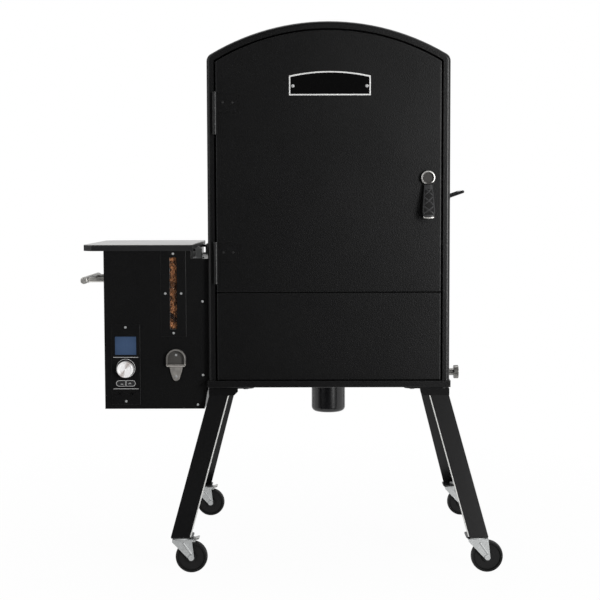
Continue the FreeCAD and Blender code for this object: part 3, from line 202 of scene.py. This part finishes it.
x0, x1 = -3.0, 1.6
far, low, top = -7, 0.002, 5
black_card("card_front", [(x0, far, low), (x1, far, low), (x1, far, top), (x0, far, top)])
black_card("card_left", [(-5, -3.5, -0.5), (-5, 1, -0.5), (-5, 1, 4), (-5, -3.5, 4)])
black_card("card_above", [(x0, far, top), (x1, far, top), (x1, -1.2, top), (x0, -1.2, top)])
black_card("card_below", [(x0, far, low), (x1, far, low), (x1, -0.7, low), (x0, -0.7, low)])


# ---- Cabinet: outer skin, front frame, back and base tray ----
# Sheet steel bent over the arch, a rolled front frame and a folded base tray, welded and then
# powder coated black with a fine hammered grain.
def start_finish(name):
    """A new material with an empty tree, and the piece's own coordinates as a Value."""
    material = bpy.data.materials.new(name)
    material.use_nodes = True
    material.node_tree.nodes.clear()
    coords = material.node_tree.nodes.new("ShaderNodeTexCoord")
    return material, Value(material.node_tree, coords.outputs["Object"])


def end_finish(material, place, shader, relief=None, depth=0.0003):
    """Close a material with one Principled shader and, if given, a relief of that depth."""
    if relief is not None:
        shader["Normal"] = place.node("Bump", {}, {"Strength": 1.0, "Distance": depth,
                                                   "Height": relief})
    surface = place.node("BsdfPrincipled", {}, shader)
    out = material.node_tree.nodes.new("ShaderNodeOutputMaterial")
    material.node_tree.links.new(surface.socket, out.inputs["Surface"])
    return material


def noise(place, scale, detail=2.0):
    return place.node("TexNoise", {}, {"Vector": place, "Scale": scale, "Detail": detail})


def tint(mask, low, high):
    """A colour that goes from low to high as mask goes from 0 to 1."""
    return mask.node("ValToRGB", {"stops": [(0.0, low), (1.0, high)]}, {"Fac": mask})


def split(place):
    """The X, Y and Z of a vector."""
    return [place.node("SeparateXYZ", {}, {"Vector": place}, axis) for axis in "XYZ"]


def coat(material, *names):
    """Give these CAD pieces the finish in place of the plain one they came with."""
    for name in names:
        for slot in nodes[name].material_slots:
            slot.material = material


def hammered_paint():
    """Black powder coat: round drops 2.5 mm across over a finer orange peel."""
    material, place = start_finish("hammered_black_paint")
    drops = place.node("TexVoronoi", {"feature": "SMOOTH_F1"},
                       {"Vector": place, "Scale": 400.0, "Smoothness": 0.6}, "Distance")
    peel = noise(place, 1100.0, 3.0)
    cloud = noise(place, 6.0, 3.0)
    return end_finish(material, place, {
        "Base Color": tint(drops * 0.5 + cloud * 0.5, (0.006, 0.006, 0.0062),
                           (0.0025, 0.0025, 0.0027)),
        "Roughness": cloud * 0.1 + 0.28,
        "Specular IOR Level": 0.3,
    }, relief=drops * -0.7 + peel * 0.3, depth=0.00024)


black_paint = hammered_paint()
coat(black_paint, "outer_shell", "front_frame", "rear_panel", "base_frame", "lower_front_panel")


# ---- Cooking chamber ----
# Liner, floor and inner door are porcelain enamelled steel, black with fine pale flecks.
# Rails and pan are the same; the racks are welded wire, nickel plated.
def enamel():
    """Glossy black enamel with pale flecks under half a millimetre."""
    material, place = start_finish("speckled_enamel")
    flecks = noise(place, 1500.0, 1.0) > 0.72
    cloud = noise(place, 9.0, 4.0)
    return end_finish(material, place, {
        "Base Color": tint(flecks, (0.012, 0.012, 0.014), (0.12, 0.12, 0.13)),
        "Roughness": cloud * 0.15 + 0.16,
        "Specular IOR Level": 0.5,
    }, relief=noise(place, 180.0, 2.0), depth=0.0001)


def plated_wire():
    """Bright nickel plate with a faint waviness and finger marks."""
    material, place = start_finish("nickel_plate")
    return end_finish(material, place, {
        "Base Color": tint(noise(place, 40.0), (0.52, 0.51, 0.48), (0.68, 0.67, 0.65)),
        "Metallic": 1.0,
        "Roughness": noise(place, 120.0, 3.0) * 0.2 + 0.1,
    }, relief=noise(place, 500.0), depth=0.00005)


coat(enamel(), "inner_liner", "floor_pan", "door_inner", "rack_rails", "water_pan")
coat(plated_wire(), "cooking_racks")


# ---- Fire pot, heat deflector and feed screw ----
# Plain steel that is never painted, because it burns: grey-brown scale with straw and blue
# temper colours, rougher where ash lies.
def burnt_steel():
    """Steel with mill scale and temper colours in broad clouds."""
    material, place = start_finish("burnt_steel")
    cloud = noise(place, 14.0, 5.0)
    tempers = [(0.3, (0.06, 0.055, 0.06)), (0.45, (0.16, 0.13, 0.1)),
               (0.55, (0.12, 0.12, 0.14)), (0.7, (0.3, 0.28, 0.26))]
    colour = cloud.node("ValToRGB", {"stops": tempers}, {"Fac": cloud})
    return end_finish(material, place, {
        "Base Color": colour,
        "Metallic": 0.85,
        "Roughness": noise(place, 60.0, 4.0) * 0.4 + 0.3,
    }, relief=noise(place, 700.0, 3.0), depth=0.00012)


coat(burnt_steel(), "heat_deflector", "burn_pot", "auger_screw", "ash_slide")


# ---- Ash collar, knob and cup ----
# The cup is deep drawn and enamelled gloss black, the collar is turned iron, and the dump
# plate is pulled by a fluted knob of smoked nickel.
def gloss_black():
    material, place = start_finish("gloss_black_enamel")
    return end_finish(material, place, {
        "Base Color": tint(noise(place, 12.0), (0.006, 0.006, 0.007), (0.012, 0.012, 0.013)),
        "Roughness": noise(place, 90.0, 3.0) * 0.08 + 0.17,
    }, relief=noise(place, 260.0), depth=0.00005)


def cast_metal():
    """Sand-cast iron under clear lacquer: pitted, mid grey, paler where it is touched."""
    material, place = start_finish("cast_iron_grey")
    pits = noise(place, 900.0, 3.0)
    cloud = noise(place, 45.0, 3.0)
    return end_finish(material, place, {
        "Base Color": tint(cloud, (0.10, 0.10, 0.095), (0.24, 0.24, 0.23)),
        "Metallic": 0.9,
        "Roughness": pits * 0.25 + 0.3,
    }, relief=pits * 0.5 + cloud * 0.5, depth=0.0003)


def nickel_plate(name, light, rough):
    """Nickel plate: light is its palest shade, rough its least roughness."""
    material, place = start_finish(name)
    low, high = [(light * part, light * part * 0.98, light * part * 0.93) for part in (0.75, 1.0)]
    return end_finish(material, place, {
        "Base Color": tint(noise(place, 60.0), low, high),
        "Metallic": 0.75,
        "Roughness": noise(place, 200.0, 3.0) * 0.12 + rough,
    }, relief=noise(place, 300.0), depth=0.00004)


iron = cast_metal()
nickel = nickel_plate("satin_nickel", 0.72, 0.3)
smoked_nickel = nickel_plate("smoked_nickel", 0.27, 0.16)
gloss = gloss_black()
coat(gloss, "ash_cup")
coat(iron, "ash_collar")
coat(smoked_nickel, "ash_knob")


# ---- Flue and side handle ----
# Elbow and pipe of the same black coated steel as the cabinet, with a spun rain cap; the lift
# handle on the right is a bent bar, coated too.
coat(black_paint, "exhaust_stack", "stack_cap")
coat(gloss, "side_handle")


# ---- Door, hinges and gasket ----
# The door is a pressed pan, coated like the cabinet. Its leaves are screwed to its face and
# its seal is a braided glass rope.
coat(black_paint, "door_outer", "door_hinge_leaves", "frame_hinge_halves")


def braided_rope():
    """Grey glass-fibre braid: two crossing sets of strands and loose fuzz."""
    material, place = start_finish("glass_rope")
    x, y, z = split(place)
    over = (x * 900.0 + z * 900.0).maths("SINE")
    under = (x * 900.0 - z * 900.0).maths("SINE")
    braid = over * under
    return end_finish(material, place, {
        "Base Color": tint(braid * 0.25 + noise(place, 300.0, 4.0) * 0.6,
                           (0.10, 0.095, 0.085), (0.42, 0.40, 0.36)),
        "Roughness": 0.95,
    }, relief=braid + noise(place, 1500.0) * 0.4, depth=0.0006)


coat(braided_rope(), "door_gasket")


# ---- Badge ----
# A bare die-cast plate with a raised, brushed rim round a black grained field, held by two
# domed rivets.
def badge_finish():
    """Bright where the plate stands forward of its field, black behind."""
    material, place = start_finish("badge_rim_and_field")
    x, y, z = split(place)
    rim_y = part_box("badge_plate")[0].y
    rim = y < rim_y + 0.0005
    stretched = place.node("Mapping", {}, {"Vector": place, "Scale": (20.0, 1.0, 900.0)})
    brushed = noise(stretched, 1.0, 3.0)
    grain = noise(place, 1400.0, 2.0)
    return end_finish(material, place, {
        "Base Color": tint(rim, (0.0015, 0.0015, 0.0016), (0.80, 0.80, 0.79)),
        "Metallic": rim * 0.35,
        "Roughness": rim * -0.3 + brushed * 0.15 + 0.65,
        "Specular IOR Level": 0.04,
    }, relief=grain * (1 - rim), depth=0.0001)


def zinc_plate():
    """Zinc plate: pale, slightly blue, with a soft spangle."""
    material, place = start_finish("zinc_plate")
    spangle = place.node("TexVoronoi", {}, {"Vector": place, "Scale": 260.0}, "Color")
    lightness = spangle.node("RGBToBW", {}, {"Color": spangle})
    return end_finish(material, place, {
        "Base Color": tint(lightness * 0.5 + noise(place, 70.0, 3.0) * 0.5,
                           (0.36, 0.37, 0.37), (0.52, 0.53, 0.53)),
        "Metallic": 0.6,
        "Roughness": lightness * 0.14 + 0.52,
    }, relief=noise(place, 800.0), depth=0.00005)


def fastener_finish():
    """Black on the screws of the hinge leaves, dull metal on the rivets of the badge."""
    material, place = start_finish("door_screws_and_rivets")
    x, y, z = split(place)
    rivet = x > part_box("door_hinge_leaves")[1].x + 0.005
    fine = noise(place, 600.0, 3.0)
    return end_finish(material, place, {
        "Base Color": tint(rivet, (0.008, 0.008, 0.008), (0.55, 0.55, 0.55)),
        "Metallic": rivet * 0.5,
        "Roughness": fine * 0.1 + 0.33,
    }, relief=fine, depth=0.00004)


zinc = zinc_plate()
coat(badge_finish(), "badge_plate")
coat(fastener_finish(), "door_fasteners")
coat(zinc, "cabinet_screws")


# ---- Latch ----
# A bright ring round a dark turned boss, on a spindle through the door, the ring partly a painted
# highlight on the boss's edge, and a drop grip of moulded black nylon with a raised lattice,
# painted shade in its pockets, and a nickelled toe.
def latch_finish():
    """Bright on the ring's rim, which is partly plated metal and partly a painted highlight on
    the boss's edge; dark satin inside it and where the grip joins it below.
    """
    material, place = start_finish("latch_ring_painted_highlight_and_boss")
    low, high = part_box("latch_spindle")
    ring_r = 0.017
    rim_in, rim_out = 0.0136, 0.0165
    axis_x = low.x + ring_r
    axis_z = high.z - ring_r
    x, y, z = split(place)
    dx, dz = x - axis_x, z - axis_z
    radius = (dx * dx + dz * dz) ** 0.5
    # The rim band is partly a plated ring and partly a painted highlight on the boss's edge, left
    # out below where the grip joins.
    ring_and_highlight_band = (radius > rim_in) * (radius < rim_out)
    above_grip = dz - dx * 0.15 > -0.0128
    rim = ring_and_highlight_band * above_grip * (y < low.y + 0.0118)
    fine = noise(place, 500.0, 3.0)
    return end_finish(material, place, {
        "Base Color": tint(rim, (0.035, 0.033, 0.031), (0.66, 0.65, 0.63)),
        "Metallic": rim * 0.2 + 0.5,
        "Roughness": rim * -0.12 + fine * 0.1 + 0.4,
    }, relief=fine, depth=0.00005)


coat(latch_finish(), "latch_spindle")


def grid_quads(index):
    """The quads between the rows and columns of a grid of point numbers."""
    corners = [index[:-1, :-1], index[:-1, 1:], index[1:, 1:], index[1:, :-1]]
    return np.stack(corners, -1).reshape(-1, 4)


def add_surface(name, points, body, material, capped=True):
    """A grid of points, shape (rows, columns, 3), as one closed piece that rides on body.

    Each cell becomes one quad, the last column joins the first, and each end row is closed by
    one face; normals are turned outwards."""
    rows, columns = points.shape[:2]
    index = np.arange(rows * columns).reshape(rows, columns)
    ends = [index[0].tolist(), index[-1, ::-1].tolist()] if capped else []
    quads = grid_quads(np.hstack([index, index[:, :1]]))
    return add_piece(name, points.reshape(-1, 3), quads.tolist() + ends, body, material)


def add_piece(name, points, faces, body, material):
    """A mesh of points and faces as one piece, smooth except over edges sharper than 0.6 rad."""
    mesh = bpy.data.meshes.new(name)
    mesh.from_pydata(points.tolist(), [], faces)
    solid = bmesh.new()
    solid.from_mesh(mesh)
    bmesh.ops.remove_doubles(solid, verts=solid.verts, dist=1e-7)
    bmesh.ops.recalc_face_normals(solid, faces=solid.faces)
    solid.to_mesh(mesh)
    solid.free()
    mesh.polygons.foreach_set("use_smooth", np.full(len(mesh.polygons), True))
    mesh.set_sharp_from_angle(angle=0.6)
    mesh.materials.append(material)
    piece = bpy.data.objects.new(name, mesh)
    bpy.context.collection.objects.link(piece)
    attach(piece, body)
    return piece


def moulded_nylon():
    """Black nylon with a spark-eroded grain."""
    material, place = start_finish("moulded_black_nylon")
    grain = noise(place, 2200.0, 2.0)
    return end_finish(material, place, {
        "Base Color": tint(noise(place, 25.0), (0.010, 0.010, 0.011), (0.018, 0.018, 0.019)),
        "Roughness": grain * 0.12 + 0.42,
        "Specular IOR Level": 0.4,
    }, relief=grain, depth=0.00008)


grip_low, grip_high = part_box("latch_grip")
grip_x = (grip_low.x + grip_high.x) / 2
grip_drop = 0.097          # from the latch axis down to the toe
rib_start = 0.022          # from the latch axis down to the first crossing of the ribs
rib_pitch = 0.0434
stations = np.array((0.016, 0.045, 0.080, 0.097))
widths = np.array((0.020, 0.025, 0.030, 0.024))
depths = np.array((0.009, 0.015, 0.014, 0.007))
stand_offs = np.array((0.018, 0.010, 0.002, 0.0))


def grip_section(drop, turn, grow=0.0):
    """Points of the drop grip: a superellipse of power 3 at each drop below the latch axis.

    Width, depth and stand-off from the door run smoothly through four stations, and the
    ellipse's angle is turn, 0 at its right side and going to the front."""
    half_w = np.interp(drop, stations, widths) / 2 + grow
    half_d = np.interp(drop, stations, depths) / 2 + grow
    front = grip_low.y + np.interp(drop, stations, stand_offs) - grow
    c, s = np.cos(turn), np.sin(turn)
    x = half_w * np.sign(c) * np.abs(c) ** (2 / 3)
    y = half_d * np.sign(s) * np.abs(s) ** (2 / 3)
    return x, front + half_d - y, half_w


def grip_nylon():
    """Black nylon, painted lighter on the ribs and darker in the pockets between them as painted
    light and shade; the pockets are also rougher.
    """
    material, place = start_finish("grip_nylon_with_painted_pocket_shade")
    x, y, z = split(place)
    drop = grip_low.z + grip_drop - z
    across = (x - grip_x) / (drop * 0.078 + 0.0088)
    zigzag = ((drop - rib_start) / rib_pitch).maths("PINGPONG", 0.5) * 4.0 - 1.0
    near = (across - zigzag).maths("ABSOLUTE")
    other = (across + zigzag).maths("ABSOLUTE")
    edge = near.maths("MINIMUM", other)
    inside = across.maths("ABSOLUTE") < 0.82
    pocket = (edge > 0.22) * inside * (drop > 0.027) * (drop < 0.087)
    grain = noise(place, 2200.0, 2.0)
    return end_finish(material, place, {
        # Painted shade: the pockets between the ribs are coloured nearly black and the ribs
        # lighter.
        "Base Color": tint(pocket, (0.025, 0.025, 0.026), (0.002, 0.002, 0.002)),
        "Roughness": grain * 0.1 + pocket * 0.3 + 0.36,
        "Specular IOR Level": 0.3,
    }, relief=grain, depth=0.00006)


def make_grip():
    """The grip's body: on its front face two crossing zigzags of ribs stay proud, and the
    triangles between them sink 1 mm."""
    drop, turn = np.meshgrid(np.linspace(0.0165, grip_drop - 0.0005, 230),
                             np.linspace(0, 2 * np.pi, 150, endpoint=False), indexing="ij")
    x, y, half_w = grip_section(drop, turn)
    phase = (drop - rib_start) / rib_pitch
    zigzag = 2 * np.abs(2 * (phase - np.floor(phase + 0.5))) - 1
    edge = np.minimum(np.abs(x / half_w - zigzag), np.abs(x / half_w + zigzag)) * half_w * 0.8
    pocket = np.clip((edge - 0.0012) / 0.0008, 0, 1)
    pocket *= np.clip((0.84 - np.abs(x / half_w)) / 0.08, 0, 1) * (np.sin(turn) > 0.2)
    pocket *= np.clip((drop - 0.026) / 0.002, 0, 1) * np.clip((0.088 - drop) / 0.002, 0, 1)
    points = np.stack([grip_x + x, y + 0.001 * pocket, grip_low.z + grip_drop - drop], -1)
    return add_surface("latch_grip_moulding", points, "latch", grip_nylon())


def make_grip_toe():
    """A nickelled shoe 3 mm high round the grip's end, its lower edge bowed by 1.5 mm."""
    bend = np.linspace(0, np.pi / 2, 10)
    drops = np.concatenate([[grip_drop - 0.0038, grip_drop - 0.0032],
                            grip_drop - 0.002 + 0.002 * np.sin(bend)])
    grows = np.concatenate([[-0.0004, 0.0006], 0.0006 - 0.002 * (1 - np.cos(bend))])
    drop, turn = np.meshgrid(drops, np.linspace(0, 2 * np.pi, 120, endpoint=False), indexing="ij")
    x, y, half_w = grip_section(drop, turn, grows[:, None])
    lift = 0.0015 * (x / half_w) ** 2
    points = np.stack([grip_x + x, y, grip_low.z + grip_drop - drop + lift], -1)
    return add_surface("latch_grip_toe", points, "latch", nickel)


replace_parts(make_grip(), "latch_grip")
make_grip_toe()


# ---- Hopper case, bin and bar handle ----
# The case is folded steel, coated like the cabinet. The bin inside is galvanised and the bar
# handle is nickelled tube on two posts.
coat(black_paint, "hopper_case", "window_bezel")
coat(zinc, "hopper_bin", "lid_hinge_brackets", "auger_tube", "fan_housing", "fan_impeller")
coat(nickel, "bar_handle")


# ---- Hopper lid ----
# One folded tray: its top is brushed stainless that serves as a side table, and its skirt is
# coated black.
def lid_finish():
    """Brushed along X on top, black paint from just under the top edge down."""
    material, place = start_finish("brushed_lid_and_skirt")
    x, y, z = split(place)
    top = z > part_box("hopper_lid")[1].z - 0.0022
    stretched = place.node("Mapping", {}, {"Vector": place, "Scale": (6.0, 1400.0, 1.0)})
    brushed = noise(stretched, 1.0, 4.0)
    cloud = noise(place, 7.0, 3.0)
    return end_finish(material, place, {
        "Base Color": tint(top, (0.006, 0.006, 0.0065), (0.315, 0.315, 0.307)),
        "Metallic": top,
        "Roughness": top * -0.12 + brushed * 0.12 + cloud * 0.08 + 0.34,
    }, relief=brushed * top, depth=0.00006)


coat(lid_finish(), "hopper_lid")


# ---- Pellet window ----
# A clear pane behind the case shows the wood pellets: pressed rods 6 mm thick and about
# 16 mm long, broken off square, lying as they fell.
def clear_pane():
    material, place = start_finish("clear_acrylic")
    return end_finish(material, place, {
        "Base Color": tint(noise(place, 20.0), (0.05, 0.05, 0.05), (0.08, 0.08, 0.08)),
        "Roughness": noise(place, 90.0, 2.0) * 0.06 + 0.04,
        "Specular IOR Level": 0.25,
        "Alpha": 0.06,
    })


def pellet_wood():
    """Pressed beech: warm brown, paler and darker from rod to rod, crazed across."""
    material, place = start_finish("pressed_wood")
    rods = place.node("TexVoronoi", {}, {"Vector": place, "Scale": 90.0}, "Color")
    shade = rods.node("RGBToBW", {}, {"Color": rods})
    fibre = noise(place, 900.0, 4.0)
    return end_finish(material, place, {
        "Base Color": tint(shade * 1.5 + fibre * 0.3 - 0.35,
                           (0.018, 0.006, 0.003), (0.44, 0.19, 0.08)),
        "Roughness": fibre * 0.2 + 0.6,
        "Specular IOR Level": 0.15,
    }, relief=fibre, depth=0.0004)


def make_pellets(name, centres, flat, seed):
    """Rods at centres, each an eight-sided prism with rounded ends, turned at random.

    A rod's axis leans out of the plane whose normal is flat by at most half a radian."""
    rng = np.random.default_rng(seed)
    count = len(centres)
    turn = np.linspace(0, 2 * np.pi, 8, endpoint=False)
    rows = [(-0.5, 0.75), (-0.44, 1.0), (0.44, 1.0), (0.5, 0.75)]
    ring = np.array([[(radius * np.cos(t), radius * np.sin(t), along) for t in turn]
                     for along, radius in rows])
    way = rng.uniform(0, 2 * np.pi, count)
    lean = rng.uniform(-0.5, 0.5, count)
    flat = np.array(flat, float)
    side = np.cross(flat, (1.0, 0.0, 0.0))
    axis = (np.cos(way) * np.cos(lean))[:, None] * np.array((1.0, 0, 0)) \
        + (np.sin(way) * np.cos(lean))[:, None] * side + np.sin(lean)[:, None] * flat
    across = np.cross(axis, flat)
    across /= np.linalg.norm(across, axis=1)[:, None]
    up = np.cross(axis, across)
    length = rng.uniform(0.010, 0.022, count)
    radius = 0.003
    points = centres[:, None, None] + radius * (ring[None, :, :, :1] * across[:, None, None]
                                                + ring[None, :, :, 1:2] * up[:, None, None]) \
        + ring[None, :, :, 2:] * (axis * length[:, None])[:, None, None]
    one = np.arange(32).reshape(4, 8)
    quads = grid_quads(np.hstack([one, one[:, :1]]))
    first = 32 * np.arange(count)
    faces = (quads[None] + first[:, None, None]).reshape(-1, 4).tolist()
    for end in (one[0], one[-1, ::-1]):
        faces += (end[None] + first[:, None]).tolist()
    return add_piece(name, points.reshape(-1, 3), faces, "cabinet", wood)


coat(clear_pane(), "window_lens")
wood = pellet_wood()
lens_low, lens_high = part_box("window_lens")
bin_low, bin_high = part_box("hopper_bin")
heap_top = lens_high.z - 0.004
rng = np.random.default_rng(4)
columns, levels = np.meshgrid(np.arange(lens_low.x - 0.002, lens_high.x + 0.004, 0.0075),
                              np.arange(lens_low.z, heap_top - 0.004, 0.0065))
spots = np.stack([columns.ravel(), np.full(columns.size, bin_low.y + 0.006), levels.ravel()], -1)
spots = np.concatenate([spots, spots + (0.004, 0.005, 0.003)])
stir = rng.uniform(-0.0015, 0.0015, spots.shape)
make_pellets("pellets_at_window", spots + stir, (0, -1, 0), 1)
across, along = np.meshgrid(np.arange(bin_low.x + 0.012, bin_high.x - 0.010, 0.0085),
                            np.arange(bin_low.y + 0.012, bin_high.y - 0.010, 0.0085))
spots = np.stack([across.ravel(), along.ravel(), np.full(across.size, heap_top)], -1)
stir = rng.uniform(-0.002, 0.002, spots.shape)
make_pellets("pellets_on_top", spots + stir, (0, 0, 1), 2)


def make_heap():
    """The heap under the top pellets: a lumpy sheet over the bin, closed by sides and floor.

    Its height is the heap's top less a sum of two crossed waves 2 mm deep."""
    x, y = np.meshgrid(np.linspace(bin_low.x + 0.004, bin_high.x - 0.004, 60),
                       np.linspace(bin_low.y + 0.012, bin_high.y - 0.004, 110), indexing="ij")
    wave = np.sin(x * 700) * np.sin(y * 640 + 3 * np.sin(x * 40))
    top = np.stack([x, y, heap_top - 0.002 + 0.002 * wave], -1)
    rim = np.concatenate([top[:, 0], top[-1, 1:], top[-2::-1, -1], top[0, -2:0:-1]])
    skirt = rim.copy()
    skirt[:, 2] = lens_low.z
    count = top.shape[0] * top.shape[1]
    index = np.arange(count).reshape(top.shape[:2])
    quads = grid_quads(index).tolist()
    upper = np.concatenate([index[:, 0], index[-1, 1:], index[-2::-1, -1], index[0, -2:0:-1]])
    lower = count + np.arange(len(upper))
    sides = np.stack([upper, np.roll(upper, -1), np.roll(lower, -1), lower], -1).tolist()
    return add_piece("pellet_heap", np.concatenate([top.reshape(-1, 3), skirt]),
                     quads + sides + [lower.tolist()], "cabinet", wood)


make_heap()


# ---- Control panel ----
# A coated plate with a lit display, a turned dial, two keys in one stadium and two probe
# jacks; lines and rings are screen printed in off-white.
def lit_display():
    """Blue backlit display, a little brighter at its middle."""
    material, place = start_finish("lit_blue_display")
    low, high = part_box("display_screen")
    x, y, z = split(place)
    off = (x - (low.x + high.x) / 2) ** 2.0 + (z - (low.z + high.z) / 2) ** 2.0
    glow = off * -900.0 + 1.0
    return end_finish(material, place, {
        "Base Color": tint(glow, (0.012, 0.02, 0.04), (0.02, 0.03, 0.06)),
        "Emission Color": tint(glow, (0.024, 0.045, 0.085), (0.034, 0.062, 0.115)),
        "Emission Strength": 0.8,
        "Roughness": noise(place, 50.0) * 0.05 + 0.2,
    })


def turned_aluminium():
    """Turned face: fine rings in its relief, and two conical sectors painted darker into its
    colour as a painted reflection of the spun finish.
    """
    material, place = start_finish("turned_aluminium")
    low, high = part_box("control_dial")
    x, y, z = split(place)
    dx, dz = x - (low.x + high.x) / 2, z - (low.z + high.z) / 2
    radius = (dx * dx + dz * dz) ** 0.5
    rings = (radius * 18000.0).maths("SINE")
    angle = dz.maths("ARCTAN2", dx)
    # Painted reflection: the base colour darkens in two conical sectors, set by the angle round
    # the dial's middle.
    painted_reflection_sectors = (angle * 2.0 - 2.1).maths("COSINE")
    shade = painted_reflection_sectors.maths("MAXIMUM", 0.0) ** 3.0
    return end_finish(material, place, {
        "Base Color": tint(shade, (0.99, 0.98, 0.98), (0.52, 0.47, 0.45)),
        "Metallic": 0.05,
        "Roughness": noise(place, 400.0) * 0.08 + 0.22,
    }, relief=rings, depth=0.000015)


def print_ink():
    material, place = start_finish("off_white_print")
    return end_finish(material, place, {
        "Base Color": tint(noise(place, 700.0, 2.0), (0.42, 0.42, 0.42), (0.62, 0.62, 0.61)),
        "Roughness": noise(place, 300.0) * 0.1 + 0.45,
    })


def make_print(name, path, width, body, closed=False, front=None):
    """A printed line: a flat strip 0.12 mm thick carried along a path of (x, z) points.

    At each point the strip's two edges lie half a width to either side, square to the path."""
    path = np.array(path, float)
    if closed:
        ahead = np.roll(path, -1, 0) - np.roll(path, 1, 0)
    else:
        ahead = np.gradient(path, axis=0)
    ahead /= np.linalg.norm(ahead, axis=1)[:, None]
    normal = np.stack([-ahead[:, 1], ahead[:, 0]], -1) * width / 2
    face = plate_front if front is None else front
    corners = []
    for side, y in ((-1, face), (1, face), (1, face - 0.00012), (-1, face - 0.00012)):
        edge = path + side * normal
        corners.append(np.stack([edge[:, 0], np.full(len(edge), y), edge[:, 1]], -1))
    points = np.stack(corners, 1)
    if closed:
        points = np.concatenate([points, points[:1]])
    return add_surface(name, points, body, ink, capped=not closed)


coat(black_paint, "control_plate")
coat(lit_display(), "display_screen")
coat(turned_aluminium(), "control_dial")
coat(moulded_nylon(), "key_left", "key_right", "power_inlet", "auger_motor")
ink = print_ink()
dial_low, dial_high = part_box("control_dial")
key_low, key_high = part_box("key_left")
plate_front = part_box("window_bezel")[0].y
dial_x, dial_z = (dial_low.x + dial_high.x) / 2, (dial_low.z + dial_high.z) / 2
key_z = (key_low.z + key_high.z) / 2
turn = np.linspace(0, 2 * np.pi, 72, endpoint=False)
ring_r, ring_line = 0.0222, 0.0011
line_half, line_w = 0.030, 0.0012
ring = np.stack([dial_x + ring_r * np.cos(turn), dial_z + 0.0015 + ring_r * np.sin(turn)], -1)
make_print("print_dial_ring", ring, ring_line, "cabinet", closed=True)
for place_name, z in (("upper", dial_high.z + 0.0085), ("lower", key_low.z - 0.006)):
    line = [(dial_x - line_half, z), (dial_x, z), (dial_x + line_half, z)]
    make_print("print_line_" + place_name, line, line_w, "cabinet")
key_front, key_r = key_low.y, 0.0068
half_turn = np.linspace(-np.pi / 2, np.pi / 2, 24)
for side, body in ((-1, "left_key"), (1, "right_key")):
    round_end = np.stack([0.0160 + key_r * np.cos(half_turn), key_r * np.sin(half_turn)], -1)
    outline = np.concatenate([[(0.0010, -key_r)], round_end, [(0.0010, key_r)]])
    outline = np.stack([dial_x + side * outline[:, 0], key_z + outline[:, 1]], -1)
    make_print("print_outline_" + body, outline, ring_line, body, closed=True, front=key_front)
    x = dial_x + side * 0.0095
    mark = [(x - 0.003, key_z - 0.002), (x, key_z + side * 0.0015), (x + 0.003, key_z - 0.002)]
    make_print("print_mark_" + body, mark, line_w, body, front=key_front)


# ---- Bottle opener ----
# Cast in one piece: arched cup, lip bar and shield, screwed to the hopper front. It is bare
# metal with painted light and shade: painted shade in the cup and on the arch, a painted
# highlight on the lip bar, and lighter upwards.
def opener_finish():
    """Grey cast metal in front, with painted shade on the arch and nearly black in the cup, a
    painted highlight on the lip bar, and lighter upwards.
    """
    material, place = start_finish("casting_with_painted_light_and_shade")
    low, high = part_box("bottle_opener")
    x, y, z = split(place)
    height = (z - low.z) / (high.z - low.z)
    lip = (height > 0.43) * (height < 0.53)
    # Painted light and shade: the parts set back are nearly black as painted shade, the arch is
    # darker, the lip bar carries a painted highlight and the front grows lighter upwards.
    proud = (y < low.y + 0.0076) * ((height > 0.53) * -0.62 + lip * 0.35 + height * 0.3 + 0.62)
    cloud = noise(place, 120.0, 4.0)
    return end_finish(material, place, {
        "Base Color": tint(proud * (cloud * 0.5 + 0.5), (0.06, 0.057, 0.053), (0.66, 0.63, 0.59)),
        "Metallic": proud * 0.8,
        "Roughness": cloud * 0.25 + 0.25,
    }, relief=cloud, depth=0.0002)


coat(opener_finish(), "bottle_opener")


# ---- Legs and casters ----
# Splayed angle legs, coated black, with zinc plated swivel casters. The wheels are hard
# rubber on a nylon hub and the left ones have a brake pedal.
def leg_paint():
    """The cabinet's black, with a pale painted highlight along the inner edge of each flange."""
    material, place = start_finish("leg_paint_and_painted_edge_highlight")
    low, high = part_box("front_legs")
    x, y, z = split(place)
    mid = (low.x + high.x) / 2
    off = (x - mid).maths("ABSOLUTE")
    outer = z * -0.2655 + (high.x - low.x) / 2 + 0.2655 * (low.z + 0.003)
    # Painted highlight: a pale stripe along the inner edge of each front leg's flange.
    edge = (off - outer < -0.0452) * (z > low.z + 0.0035) * (z < high.z - 0.021)
    cloud = noise(place, 6.0, 3.0)
    grain = noise(place, 1100.0, 3.0)
    return end_finish(material, place, {
        "Base Color": tint(edge, (0.0035, 0.0035, 0.0037), (0.64, 0.64, 0.62)),
        "Roughness": cloud * 0.1 + 0.28,
        "Specular IOR Level": 0.24,
    }, relief=grain, depth=0.0001)


coat(black_paint, "rear_legs")
coat(leg_paint(), "front_legs")


def rubber():
    """Black rubber, a little greyer with dust on the tread than on the sides."""
    material, place = start_finish("hard_rubber")
    dust = noise(place, 30.0, 5.0)
    return end_finish(material, place, {
        "Base Color": tint(dust, (0.004, 0.004, 0.004), (0.012, 0.012, 0.012)),
        "Roughness": dust * 0.2 + 0.45,
        "Specular IOR Level": 0.15,
    }, relief=noise(place, 1200.0, 2.0), depth=0.0001)


tyre = rubber()
for place_name in ("front_left", "front_right", "rear_left", "rear_right"):
    coat(zinc, "caster_fork_" + place_name)
    coat(tyre, "caster_wheel_" + place_name)
coat(smoked_nickel, "brake_lever_front_left", "brake_lever_rear_left")
